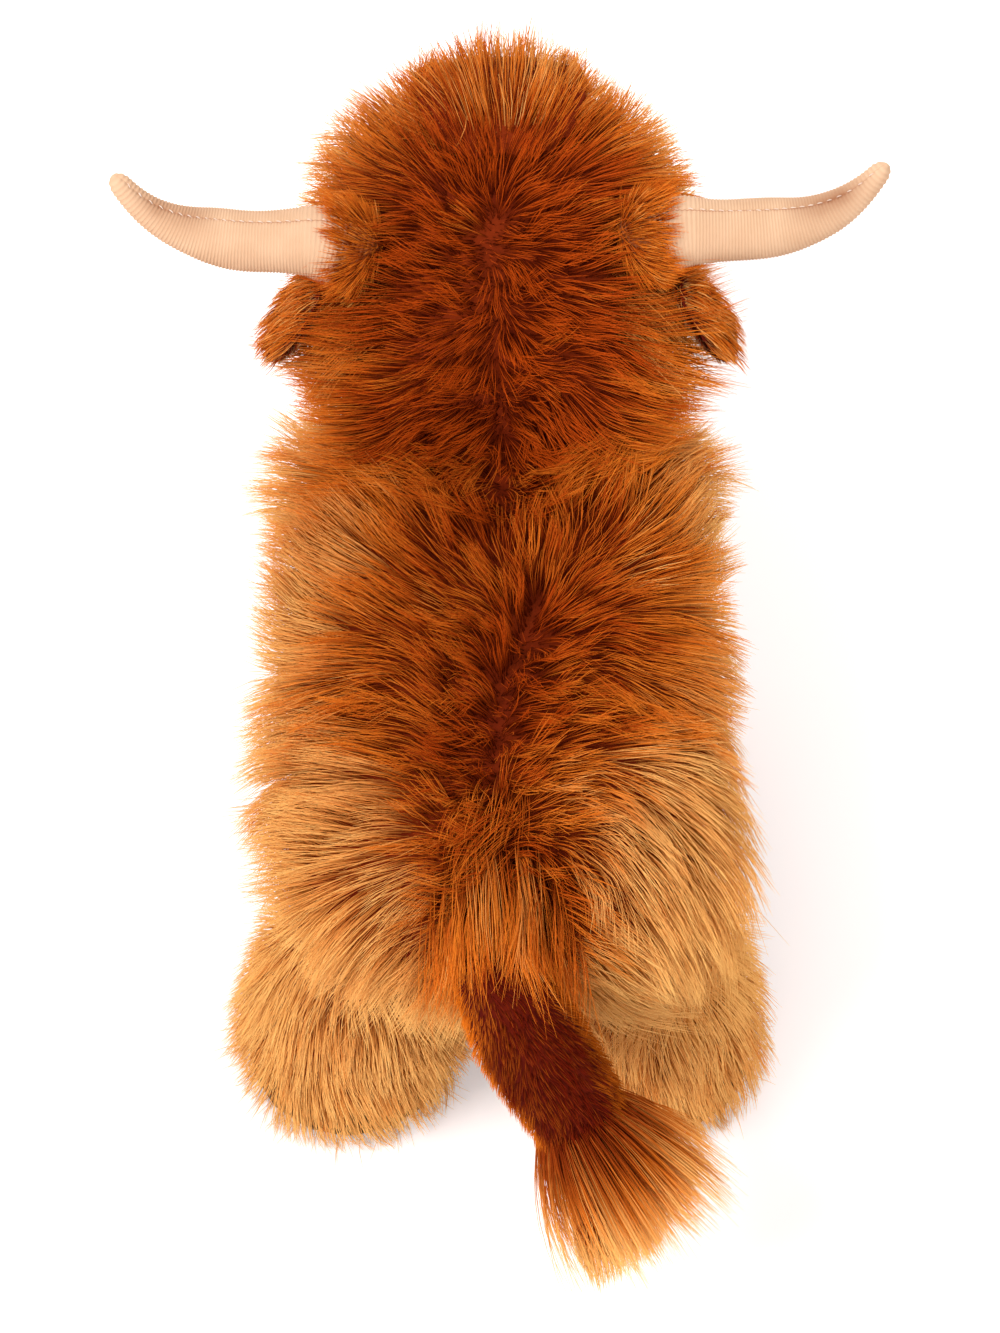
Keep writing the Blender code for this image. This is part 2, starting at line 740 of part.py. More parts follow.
def stand_on_floor(shop):
    """Puts the middle of the underside of the whole cow's box at the world's origin."""
    bpy.context.view_layer.update()
    graph = bpy.context.evaluated_depsgraph_get()
    corners = []
    for piece in shop.parts.objects:
        if piece.type == "MESH":
            solid = piece.evaluated_get(graph)
            corners += [piece.matrix_world @ Vector(corner) for corner in solid.bound_box]
    low = Vector([min(corner[axis] for corner in corners) for axis in range(3)])
    high = Vector([max(corner[axis] for corner in corners) for axis in range(3)])
    shop.origin.location = -Vector(((low.x + high.x) / 2, (low.y + high.y) / 2, low.z))


def main():
    clear_scene()
    shop = Workshop()
    body = body_surface()
    make_body(shop, body)
    head, neck_room = make_head(shop, body)
    head_room = shop.cutter("head_room", offset(head, SEAM_GAP))
    make_muzzle(shop, head_room)
    make_forelock(shop, head_room)
    make_legs(shop, [neck_room])
    for side, side_name in SIDE_NAMES.items():
        make_horn(shop, side, side_name, head_room)
        make_ear(shop, side, side_name, head)
    make_tail(shop, tail_seat(body))
    stand_on_floor(shop)


main()
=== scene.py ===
"""A long-haired plush cow on a plain pale floor, seen from behind and above.

Metres, +Z up; the cow faces -Y and its left is +X. Lengths of hair, cloth and thread are real
sizes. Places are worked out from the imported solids, as shares of their boxes. Angles of hair are in
degrees from the skin, and densities are in hairs to a square metre. A ripple is its strength, its
wavelength and its seed. A tone is 0 for the darkest hair and 1 for the lightest, and a pair of
tones is the middle one and its scatter. A pair of places, widths, heights, reaches, facings or
fades is where a change starts and where it is complete.
"""

import json
import math

import bmesh
import bpy
import numpy as np
from mathutils import Matrix, Vector
from mathutils.bvhtree import BVHTree
from mathutils.kdtree import KDTree


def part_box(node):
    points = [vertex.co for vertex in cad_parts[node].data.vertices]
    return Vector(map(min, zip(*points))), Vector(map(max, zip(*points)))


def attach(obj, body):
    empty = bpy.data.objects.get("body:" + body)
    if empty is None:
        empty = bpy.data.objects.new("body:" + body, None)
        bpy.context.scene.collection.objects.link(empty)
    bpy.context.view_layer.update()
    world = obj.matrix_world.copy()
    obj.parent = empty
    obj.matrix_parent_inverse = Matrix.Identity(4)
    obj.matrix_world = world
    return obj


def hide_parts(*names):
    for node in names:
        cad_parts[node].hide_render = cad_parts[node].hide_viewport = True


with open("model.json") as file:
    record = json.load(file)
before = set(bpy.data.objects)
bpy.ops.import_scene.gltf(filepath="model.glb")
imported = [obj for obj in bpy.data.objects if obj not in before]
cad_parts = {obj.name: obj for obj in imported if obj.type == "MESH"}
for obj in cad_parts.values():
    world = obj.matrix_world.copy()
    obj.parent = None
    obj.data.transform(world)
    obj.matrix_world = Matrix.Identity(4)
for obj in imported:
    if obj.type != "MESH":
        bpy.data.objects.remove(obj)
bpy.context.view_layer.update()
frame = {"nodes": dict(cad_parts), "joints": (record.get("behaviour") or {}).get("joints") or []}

SIDES = {"left": 1, "right": -1}
LEG_ENDS = ("front", "rear")
BAKE_MAP = "OFBake"
WHITE = (1.0, 1.0, 1.0)
MATERIALS = {}
SWEEPS = {}
SEEDS = {
    "coat": 100,
    "horn_collar": 200,
    "ear": 300,
    "ear_fringe": 350,
    "tail": 400,
    "wisps": 450,
    "tuft": 500,
    "forelock": 600,
    "muzzle": 700,
}

# Cloth under the hair, drawn in from the solids by these depths
SKIN_VOXEL = 0.005
SKIN_DEPTH = 0.008
FINE_VOXEL = 0.0022
CORE_DEPTH = 0.006
FILLING_VOXEL = 0.004
FILLING_DEPTH = 0.0014
SOLE_VOXEL = 0.002
SOLE_DEPTH = 0.0002
HAIR_ROOT_DEPTH = 0.0008
MERGE_DISTANCE = 1e-6

# Partings, as shares of the half width and of the length from the rear
BACK_PARTING_SHARES = ((-0.15, 0.54), (0.0, 0.40), (0.02, 0.20), (0.0, 0.05))
HEAD_PARTING_SHARES = ((0.03, 0.42), (-0.03, -0.05))
PARTING_REACH_SHARES = (1.0, 0.62)
PARTING_WEIGHT_POWER = 4.0
PARTING_FADES = (0.0075, 0.048)
PARTING_RISE = 74.0
PARTING_DROOP = 40.0
PARTING_LENGTH_SHARE = 0.72
PARTING_DENSITY_SHARE = 1.6
PARTING_DENSITY_FADES = (0.012, 0.030)

# The way the hair is combed
DOWNWARD_SHARE = 0.35
BACKWARD_SHARES = {"left": 0.20, "right": 1.30}
BACKWARD_PLACES = (0.020, 0.110)
BACKWARD_WIDTH = 0.03
FORWARD_SHARE = 0.55
FORWARD_PLACES = (-0.075, -0.020)
FORWARD_ENDS = (-0.02, 0.03)
LEG_RUN = np.array((0.0, 0.25, -0.8))

# Hair of each region, and the sizes of its locks with how strongly each draws its hairs together
HAIR_REGIONS = {
    "body": dict(density=29.5e4, length=0.034, rise=58.0, droop=12.0, locks=((55, 0.40), (10, 0.32))),
    "head": dict(density=30.5e4, length=0.029, rise=62.0, droop=20.0, locks=((50, 0.28), (9, 0.26))),
    "rear_leg": dict(density=26.0e4, length=0.027, rise=56.0, droop=18.0, locks=((40, 0.26), (9, 0.20))),
    "front_leg": dict(density=10.0e4, length=0.027, rise=56.0, droop=18.0, locks=((40, 0.26), (9, 0.20))),
}
COAT_SWAYS = ((0.30, 0.060, 3), (0.22, 0.020, 5))
PARTING_SWAY = (0.9, 0.012, 7)
COAT_SWAY_SCATTER = 0.09
COAT_RISES = (6.0, 0.02, 11)
COAT_DROOPS = (7.0, 0.014, 13)
COAT_DROOP_SCATTER = 4.0
COAT_LENGTHS = (0.10, 0.012, 17)
COAT_LENGTH_SHARES = (0.72, 1.12)
COAT_MARGIN = 0.0008
LOWEST_ROOT = 0.004
UNSEEN_FACING = -0.55
UNSEEN_DENSITY_SHARE = 0.25
HEM_PLACES = (0.02, 0.09)
HEM_HEIGHTS = (0.135, 0.185)
HEM_LENGTH_SHARES = {"left": 1.15, "right": 1.75}
RUFF_PLACE = 0.074
RUFF_REACH = 0.042
RUFF_WIDTHS = (0.045, 0.065)
RUFF_LENGTH_SHARE = 1.38
RUFF_DENSITY_SHARE = 1.5
FLANK_WIDTHS = (0.055, 0.085)
FLANK_PLACES = (0.04, 0.10)
RIGHT_FLANK_SHARE = 0.74
EAR_FUR_REACHES = (0.012, 0.040)
EAR_FUR_SHARE = 1.6
HORN_SHORT_SHARE = 0.70
HORN_SHORT_PLACES = (0.010, 0.026)
HORN_SHORT_WIDTHS = (-0.012, 0.006)

# Strands
HAIR_STEPS = 4
LONG_STEPS = 6
SHORT_STEPS = 3
HAIR_RADIUS = 0.00021
SHORT_HAIR_RADIUS = 0.00017
HAIR_TAPER_SHARES = (1.0, 0.95, 0.72, 0.20)
HAIR_SIDES = 3
BEND_POWER = 0.7
LOCK_POWER = 1.3
LOCK_PULL_SHARES = (0.3, 1.0)
RIPPLE_WAVES = 6
RIPPLE_LENGTH_SHARES = (0.7, 1.5)
MOST_TRIANGLES_A_PIECE = 196000
THREAD_SIDES = 6
THREAD_TAPER_SHARES = (0.5, 1.0, 1.0, 0.5)
THREAD_TONE = 0.5
FLOOR_CLEARANCE = 0.0006

# Fur that runs one way: hanging fringes, and short pile
HANGING = dict(
    sway=(0.30, 0.016, 61),
    sway_scatter=0.12,
    length_shares=(0.60, 1.12),
    lengths=(0.18, 0.009, 63),
    rise_scatter=5.0,
    droop_scatter=5.0,
)
SHORT = dict(
    sway=(0.22, 0.012, 23),
    sway_scatter=0.10,
    length_shares=(0.70, 1.12),
    lengths=(0.10, 0.010, 29),
    rise_scatter=5.0,
    droop_scatter=4.0,
)
SHORT_PULL = 0.5
FURS = {
    "horn_collar": dict(
        HANGING, density=150e4, length=0.012, rise=24.0, droop=7.0, steps=HAIR_STEPS, pull=0.22, tone=0.34
    ),
    "ear_fringe": dict(
        HANGING, density=70e4, length=0.036, rise=42.0, droop=-6.0, steps=HAIR_STEPS, pull=0.42, tone=0.55
    ),
    "parting_wisps": dict(
        HANGING, density=26e4, length=0.032, rise=56.0, droop=-6.0, steps=LONG_STEPS, pull=0.42, tone=0.26
    ),
    "ear_pile": dict(SHORT, density=105e4, length=0.0042, rise=52.0, droop=8.0, steps=HAIR_STEPS, lock=7),
    "ear_locks": dict(SHORT, density=60e4, length=0.013, rise=40.0, droop=6.0, steps=HAIR_STEPS, lock=12),
    "tail_pile": dict(SHORT, density=70e4, length=0.0066, rise=64.0, droop=26.0, steps=SHORT_STEPS, lock=6),
    "muzzle_pile": dict(SHORT, density=44e4, length=0.0034, rise=58.0, droop=26.0, steps=SHORT_STEPS, lock=5),
}
FRINGE_LOCKS = (50, 9)
FRINGE_MARGIN = 0.0010

# Tones of the hair along the parting and away from it, and painted rim light at the outline
TONE_REACH = 0.100
TONE_AT_PARTING = 0.03
TONE_GAIN = 0.84
TONE_SPREAD = 0.06
TONE_OF_LOCKS = 0.11
TONE_RIPPLE = (0.07, 0.040, 19)
TONE_HALF_WIDTH = 0.012
TONE_MARGIN = 0.03
TIP_TONE = 0.16
HEAD_TONE = -0.27
REAR_TONE_REACH_SHARE = 1.5
REAR_TONE_PLACES = (0.045, 0.125)
HEAD_TONE_REACH_SHARE = 0.10
# Painted rim light: hair lighter where the form turns away from the camera, towards the outline
RIM_LIGHT_TONE = 0.42
EDGE_FACING = np.array((0.0, 0.5, 0.866))
RIM_LIGHT_FACING_END = 0.55

# Camera
CAMERA_DISTANCE = 1.30
CAMERA_ELEVATION = math.radians(60.0)
CAMERA_TARGET = Vector((0.0, 0.008, 0.150))
SENSOR = 36.0
LENS = 87.8

# Horns: shares run from 0 at the root to 1 at the tip
HORN_RADIUS = 0.0152
HORN_START = 0.010
HORN_END = 0.005
HORN_LIFTS = {"left": np.array((0.0, 0.001, 0.001)), "right": np.array((0.0, -0.002, 0.004))}
HORN_RISE = 0.0255
HORN_REACH = 0.0125
HORN_CURL_POWER = 5.2
HORN_RADIUS_SHARES = (
    (0.0, 1.12),
    (0.10, 1.06),
    (0.22, 0.90),
    (0.36, 0.80),
    (0.60, 0.75),
    (0.78, 0.54),
    (0.90, 0.35),
    (1.0, 0.23),
)
HORN_SOFTENING = np.linspace(-0.06, 0.06, 9)
HORN_ROOT_SHARE = 0.07
HORN_ROOT_DRAWN_IN = 0.8
HORN_DIP = 0.011
HORN_DIP_SHARE = 0.24
HORN_TIP_SHARE = 0.965
HORN_LAST_RIB_SHARE = 0.995
HORN_COLLAR_SHARE = 0.085
HORN_COLLAR_RUN = np.array((1.0, 0.05, 0.0))
HORN_BARE_SHARE = 0.11
HORN_BALLS_END_SHARE = 0.98
HORN_BALL_COUNT = 34
HORN_FIBRE_SHARES = (0.07, 0.88)
HORN_FIBRE_GIRTH_SHARE = 0.86
HORN_FIBRE_ROUNDING = 8
HORN_FIBRE_STEPS = (60, 24)
HORN_LUMPS = (0.00035, 0.03, 41)
HORN_LUMP_GIRTH = 0.012
RIB_PITCH = 0.0013
RIB_DEPTH = 0.00024
STEPS_A_RIB = 4
HORN_AROUND = 48
# Painted shade in the grooves between the ribs, at its darkest
RIB_SHADE = 0.16
SEAM_CROWDING = 0.8
SEAM_DEPTH = 0.0004
SEAM_WIDTH = 0.0009
STITCH_PITCH = 0.0038
STITCH_LENGTH = 0.0019
STITCH_RADIUS = 0.00022
STITCH_RISE = 0.00022
STITCH_SLANT_SHARE = 0.28
STITCH_SINK_SHARE = 0.35
STITCH_STEPS = 5
STITCHED_SHARE = 0.97
STITCHES_START_SHARE = 0.01
FIRST_STITCH_SHARE = 0.15

# Colours of the horns, and stops along them and round from the seam, where 1 shows a shade in full; the root
# colour is painted shade where the fur covers the root, and the seam colour is also painted shade in the
# grooves between the ribs
HORN_COLOURS = {
    "plain": (0.60, 0.375, 0.230),
    "light": (0.68, 0.450, 0.290),
    "shade": (0.31, 0.130, 0.062),
    # seam: the dark seam line, also used for painted shade in the rib grooves
    "seam": (0.36, 0.140, 0.070),
    # root: painted shade where the fur covers the horn's root
    "root": (0.26, 0.060, 0.012),
}
HORN_PATCH_SCALE = 55.0
HORN_ROUGHNESS = 0.85
SPRAYED_ALONG = ((0.58, 0.0), (0.76, 1.0), (0.86, 1.0), (0.97, 0.0))
SPRAYED_AROUND = ((0.0, 1.0), (0.20, 0.6), (0.33, 0.0), (0.67, 0.0), (0.80, 0.6), (1.0, 1.0))
SPRAYED_PATCHES = ((0.30, 0.35), (0.62, 1.0))
SEAM_LINE = ((0.0, 1.0), (0.016, 0.0), (0.984, 0.0), (1.0, 1.0))
# Painted shade on the horn's root, where the fur covers it
PAINTED_ROOT_SHADE = ((0.115, 1.0), (0.15, 0.0))

# Ears
EAR_VOXEL = 0.0013
EAR_SKIN_DEPTH = 0.0006
EAR_LIFT = np.array((0.0, -0.002, 0.004))
EAR_SHOWN_FACING = -0.1
EAR_LOCKS_REACH = 0.030
EAR_LOCKS_TONES = (0.42, 0.20)
EAR_RIM = 0.020
EAR_RIM_START_SHARE = 0.7
EAR_TONES = dict(plain=0.12, rim=0.75, scatter=0.14)
EAR_FRINGE_REACH = 0.034
EAR_FRINGE_BACK = -0.006
EAR_FRINGE_RUN = np.array((1.0, 0.35, -0.45))
EAR_BALL_RADIUS = 0.008
EAR_BALL_SHARES = (0.2, 0.6, 1.0)

# Hair over the root of the tail
WISP_WIDTH = 0.028
WISP_FADE_WIDTH = 0.008
WISP_REACH = 0.070
WISP_FADE_REACH = 0.030
WISP_LOWEST = -0.016
WISP_DENSITY = 86e4
WISP_FAN_SHARE = 1.3
WISP_SWAY = (0.0052, 0.022, 71)
WISP_CROSSING = 0.001
WISP_SCATTER = 0.0024
WISP_RADIUS = 0.0235
WISP_RISE = 0.0075
WISP_SAG = 0.010
WISP_ARCH = np.array((0.0, 0.0, 0.014))
WISP_BENDS = tuple((0.0052, 0.014, seed) for seed in (72, 73, 74))
WISP_LENGTH_SHARES = (0.60, 1.12)
WISP_RAGGED = (0.24, 0.007, 75)
WISP_LOCKS = ((40, 0.30), (9, 0.30))
WISP_TONE = 0.34
PARTING_END_WIDTH = 0.012
PARTING_END_PLACES = (-0.085, -0.030)
PARTING_END_RUN = (0.45, 1.0, -0.2)

# Tail
TAIL_SKIN_DEPTH = -0.0008
TAIL_ROOT_SHARE = 0.70
TAIL_ROOT_REACHES = (-0.004, 0.016)
TAIL_NARROWING = 0.10
TAIL_NARROWING_SHARES = (0.2, 1.0)
TAIL_LEAN = np.array((-0.0040, 0.0, 0.0))
TAIL_BARE_END = 0.004
# Painted light on the tail's pile: lighter on its left side towards the key lamp and less on its right, with
# a painted glow near the root
TAIL_LIT_FACINGS = (0.62, 0.98)
TAIL_FAR_LIT_FACINGS = (0.85, 1.0)
TAIL_FAR_LIGHT_SHARE = 0.5
TAIL_GLOW_FACINGS = (-0.2, 0.9)
TAIL_GLOW_REACH = 0.034
TAIL_TONES = dict(dark=0.06, lit=0.85, glow=0.55, scatter=0.10)
TAIL_RIPPLE = (0.05, 0.02, 31)

# Tuft
TUFT_RUN = (-0.031, 0.036, -0.046)
TUFT_DENSITY = 34e4
TUFT_END_DENSITY = 92e4
TUFT_SOURCE = 0.047
TUFT_OVERLAP = 0.009
TUFT_REACH = 0.055
TUFT_SHORTEST = 0.018
TUFT_LIFT = 0.26
TUFT_SWAYS = tuple((0.10, 0.014, seed) for seed in (33, 35, 37))
TUFT_SCATTER = 0.05
TUFT_LENGTH_SHARES = (0.70, 1.05)
TUFT_LENGTHS = (0.10, 0.012, 39)
TUFT_LOCKS = ((200, 0.24), (50, 0.32), (9, 0.26))
TUFT_RIPPLE = (0.06, 0.02, 37)
TUFT_TONES = dict(root=0.34, gain=0.66, scatter=0.10)
TUFT_TONE_REACHES = (0.002, 0.052)

# Forelock: its places are distances ahead of its rear edge, and its rises and droops are those at
# the sides and how much is added at the top
FORELOCK_DEPTH = 0.0066
FORELOCK_DENSITY = 25e4
FORELOCK_REAR_DENSITY_SHARE = 0.8
FORELOCK_REAR_DROP = 0.012
FORELOCK_DROP_PLACES = (0.045, 0.004)
FORELOCK_CROWN = (0.0, 0.03, -0.01)
FORELOCK_REAR_PLACES = (0.04, 0.0)
FORELOCK_FALL = np.array((0.0, 0.0, -0.35))
FORELOCK_SWAY = (0.20, 0.014, 43)
FORELOCK_SWAY_SCATTER = 0.08
FORELOCK_HAIR = 0.030
FORELOCK_LENGTH_SHARES = (0.70, 1.10)
FORELOCK_LENGTHS = (0.12, 0.014, 45)
FORELOCK_MIDDLE_SHARE = 1.12
FORELOCK_SIDE_LOSS = 0.42
FORELOCK_TOP_HEIGHT = 0.04
FORELOCK_RISES = (44.0, 14.0)
FORELOCK_DROOPS = (-4.0, 10.0)
FORELOCK_DROOP_SCATTER = 5.0
FORELOCK_LOCKS = ((44, 0.4), (9, 0.4))
FORELOCK_MARGIN = 0.001
FORELOCK_TONES = dict(front=0.66, rear_loss=0.30, scatter=0.12)
FORELOCK_TONE_PLACES = (0.07, 0.01)
FORELOCK_RIPPLE = (0.08, 0.02, 47)

# Face
MUZZLE_VOXEL = 0.0018
MUZZLE_SKIN_DEPTH = 0.0012
MUZZLE_RUN = (0.0, 1.0, -0.4)
MUZZLE_TONES = (0.6, 0.2)
MUZZLE_CLEARANCE = 0.05
NOSTRIL_SIZE = (0.0044, 0.0030, 0.0011)
NOSTRIL_ACROSS_SHARE = 0.36
NOSTRIL_HEIGHT_SHARE = 0.60
NOSTRIL_PROUD = 0.0016
NOSTRIL_TURN = 0.5
NOSTRIL_BARE_SHARE = 1.15
NOSTRIL_SEGMENTS = 24
MOUTH_ACROSS_SHARE = 0.55
MOUTH_HEIGHT_SHARE = 0.27
MOUTH_SMILE_SHARE = 0.10
MOUTH_PROUD = 0.0030
MOUTH_RADIUS = 0.0007
MOUTH_STEPS = 25
EYE_OBSTACLE = 0.0085
EYE_CLEARING = 0.028
EYE_CLEARING_START_SHARE = 0.4
EYE_HAIR_SHARE = 0.30
EYE_DOME = (0.0075, 0.0075, 0.0060)
EYE_SEGMENTS = 40

# Piles: colours from dark to light tones, at the roots and at the tips of the hairs
PILE_SPECULAR = 0.03
PILE_STOPS = {"Root End": 0.05, "Tip Start": 0.95}
CLOTH_SPECULAR = 0.1
PILES = {
    "long_pile": dict(
        label="long two-tone hair",
        roots=((0.0, (0.10, 0.006, 0.0005)), (0.45, (0.30, 0.040, 0.003)), (1.0, (0.74, 0.30, 0.055))),
        tips=((0.0, (0.50, 0.060, 0.003)), (0.45, (0.80, 0.215, 0.018)), (1.0, (0.98, 0.56, 0.18))),
        roughness=0.6,
    ),
    "short_pile": dict(
        label="short dense pile",
        roots=((0.0, (0.045, 0.0010, 0.0002)), (1.0, (0.36, 0.05, 0.003))),
        tips=((0.0, (0.135, 0.0030, 0.0003)), (1.0, (0.88, 0.22, 0.012))),
        roughness=0.65,
    ),
    "muzzle_pile": dict(
        label="brushed muzzle pile",
        roots=((0.0, (0.36, 0.20, 0.11)), (1.0, (0.52, 0.33, 0.20))),
        tips=((0.0, (0.55, 0.36, 0.22)), (1.0, (0.80, 0.60, 0.42))),
        roughness=0.7,
        sheen=0.3,
        tint=(1.0, 0.9, 0.8),
    ),
    "ear_pile": dict(
        label="ear pile",
        roots=((0.0, (0.060, 0.011, 0.002)), (1.0, (0.20, 0.06, 0.012))),
        tips=((0.0, (0.22, 0.05, 0.010)), (1.0, (0.75, 0.36, 0.11))),
        roughness=0.6,
        sheen=0.3,
        tint=(1.0, 0.62, 0.30),
    ),
}

# Cloths and plastics: the darker and lighter colour, the scale of their patches, and the nap
CLOTHS = {
    "backing": dict(
        label="knitted backing",
        dark=(0.13, 0.010, 0.001),
        light=(0.22, 0.024, 0.002),
        patches=40.0,
        roughness=0.95,
        sheen=0.0,
    ),
    "short_backing": dict(
        label="short pile backing",
        dark=(0.07, 0.003, 0.0005),
        light=(0.12, 0.008, 0.001),
        patches=60.0,
        roughness=0.95,
        sheen=0.0,
    ),
    "muzzle_cloth": dict(
        label="muzzle cloth",
        dark=(0.48, 0.30, 0.18),
        light=(0.60, 0.40, 0.26),
        patches=60.0,
    ),
    "horn_thread": dict(
        label="horn seam thread",
        dark=(0.62, 0.44, 0.34),
        light=(0.80, 0.66, 0.56),
        patches=400.0,
        roughness=0.7,
    ),
    "nostril_felt": dict(
        label="dark face felt",
        dark=(0.07, 0.030, 0.018),
        light=(0.11, 0.050, 0.030),
        patches=200.0,
    ),
    "eye_gloss": dict(
        label="glossy eye plastic",
        dark=(0.010, 0.006, 0.004),
        light=(0.020, 0.010, 0.006),
        patches=60.0,
        roughness=0.06,
        sheen=0.0,
        nap=0.0,
        specular=0.6,
    ),
    "washer_plastic": dict(
        label="white washer plastic",
        dark=(0.78, 0.78, 0.75),
        light=(0.86, 0.86, 0.83),
        patches=120.0,
        roughness=0.45,
        sheen=0.0,
        nap=0.1,
    ),
    "filling": dict(
        label="fibre filling",
        dark=(0.80, 0.79, 0.76),
        light=(0.90, 0.89, 0.86),
        patches=90.0,
        roughness=1.0,
        sheen=0.4,
        nap=0.6,
        nap_scale=350.0,
    ),
    "sole_cloth": dict(
        label="brushed sole cloth",
        dark=(0.10, 0.050, 0.022),
        light=(0.16, 0.085, 0.038),
        patches=90.0,
    ),
}
PATCH_STOPS = {"From Min": 0.3, "From Max": 0.7}
PATCH_DETAIL = 4.0
NAP_DETAIL = 3.0
NAP_HEIGHT = 0.0006

# Floor, which glows to white away from the cow, and lamps, each with its place, size and power
FLOOR_HALF_WIDTH = 3.0
FLOOR_COLOUR = (0.80, 0.74, 0.72)
FLOOR_GLOW = {"From Min": 0.30, "From Max": 0.80, "To Min": 0.30, "To Max": 1.0}
WORLD_STRENGTH = 0.85
LAMPS = {
    "key lamp": ((1.1, 0.7, 1.9), 0.9, 33.0),
    "fill lamp": ((-1.4, 0.4, 1.3), 1.2, 8.0),
    "front lamp": ((0.3, -1.7, 0.9), 1.2, 12.0),
    "low lamp": ((0.4, 1.9, 0.55), 1.0, 8.0),
}


# Numbers and vectors


def unit(vectors):
    length = np.linalg.norm(vectors, axis=-1, keepdims=True)
    return vectors / np.maximum(length, 1e-12)


def smooth_step(values, low, high):
    share = np.clip((values - low) / (high - low), 0.0, 1.0)
    return share * share * (3.0 - 2.0 * share)


def draws(part, number=0):
    """The random numbers of a part, which are the same in every run."""
    return np.random.default_rng(SEEDS[part] + number)


def ripple(places, strength, wavelength, seed):
    """Smooth waves over a surface, of about this strength either way."""
    draw = np.random.default_rng(seed)
    total = np.zeros(len(places))
    for _ in range(RIPPLE_WAVES):
        heading = unit(draw.normal(size=3))
        pitch = wavelength * draw.uniform(*RIPPLE_LENGTH_SHARES)
        total += np.sin(places @ heading * math.tau / pitch + draw.uniform(0.0, math.tau))
    return strength * (total / math.sqrt(RIPPLE_WAVES))


def ragged(places, shares, waves, draw):
    """Uneven lengths: a random share for each hair, times a ripple over the surface."""
    return draw.uniform(*shares, len(places)) * (1.0 + ripple(places, *waves))


def turned(runs, normals, angles):
    """Directions in a surface, turned about its normals."""
    sideways = np.cross(normals, runs)
    return runs * np.cos(angles)[:, None] + sideways * np.sin(angles)[:, None]


def laid_flat(runs, normals):
    """Directions with the part along the surface's normal taken out."""
    return unit(runs - normals * np.sum(runs * normals, axis=1)[:, None])


def joint_place(name):
    """Where a joint's pivot is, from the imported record."""
    for joint in frame["joints"]:
        if joint["name"] == name:
            return np.array(joint["pos_m"])


def vertex_places(*nodes):
    return np.array([vert.co[:] for node in nodes for vert in frame["nodes"][node].data.vertices])


def middle_of(*nodes):
    return np.mean(vertex_places(*nodes), axis=0)


# Meshes


def node_mesh(*nodes):
    """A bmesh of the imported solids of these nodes, with their loose triangles merged."""
    bm = bmesh.new()
    for node in nodes:
        bm.from_mesh(frame["nodes"][node].data)
    bmesh.ops.remove_doubles(bm, verts=bm.verts, dist=MERGE_DISTANCE)
    return bm


def as_mesh(bm):
    mesh = bpy.data.meshes.new("form")
    bm.to_mesh(mesh)
    bm.free()
    return mesh


def search_tree(bm):
    tree = BVHTree.FromBMesh(bm)
    bm.free()
    return tree


def tree_of(mesh):
    bm = bmesh.new()
    bm.from_mesh(mesh)
    return search_tree(bm)


def modified(mesh, *settings):
    """The mesh after these modifiers, each given as (type, values)."""
    holder = bpy.data.objects.new("holder", mesh)
    bpy.context.scene.collection.objects.link(holder)
    for kind, values in settings:
        modifier = holder.modifiers.new(kind.lower(), kind)
        for key, value in values.items():
            setattr(modifier, key, value)
    graph = bpy.context.evaluated_depsgraph_get()
    made = bpy.data.meshes.new_from_object(holder.evaluated_get(graph))
    bpy.data.objects.remove(holder)
    return made


def soft_copy(nodes, voxel, depth, smoothing=8):
    """One closed, smooth form of the nodes' space, drawn in by a depth."""
    return modified(
        as_mesh(node_mesh(*nodes)),
        ("REMESH", dict(mode="VOXEL", voxel_size=voxel)),
        ("SMOOTH", dict(factor=0.5, iterations=smoothing)),
        ("DISPLACE", dict(strength=-depth, mid_level=0.0, direction="NORMAL")),
        ("SMOOTH", dict(factor=0.5, iterations=smoothing // 2)),
    )


def oval(place, facing, size, segments, turn=0.0):
    """A rounded form of these half sizes, the last of them along the way it faces."""
    seat = Matrix.Translation(place) @ Vector(facing).to_track_quat("Z", "Y").to_matrix().to_4x4()
    shape = seat @ Matrix.Rotation(turn, 4, "Z") @ Matrix.Diagonal((*size, 1.0))
    bm = bmesh.new()
    bmesh.ops.create_uvsphere(bm, u_segments=segments, v_segments=segments // 2, radius=1.0, matrix=shape)
    return as_mesh(bm)


def add_piece(name, mesh, material, body):
    piece = bpy.data.objects.new(name, mesh)
    bpy.context.scene.collection.objects.link(piece)
    mesh.name = name
    mesh.materials.clear()
    mesh.materials.append(MATERIALS[material])
    mesh.shade_smooth()
    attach(piece, body)
    return piece


def triples(items, key, kind=float):
    """Three numbers for each item of a mesh."""
    values = np.empty(len(items) * 3, kind)
    items.foreach_get(key, values)
    return values.reshape(-1, 3)


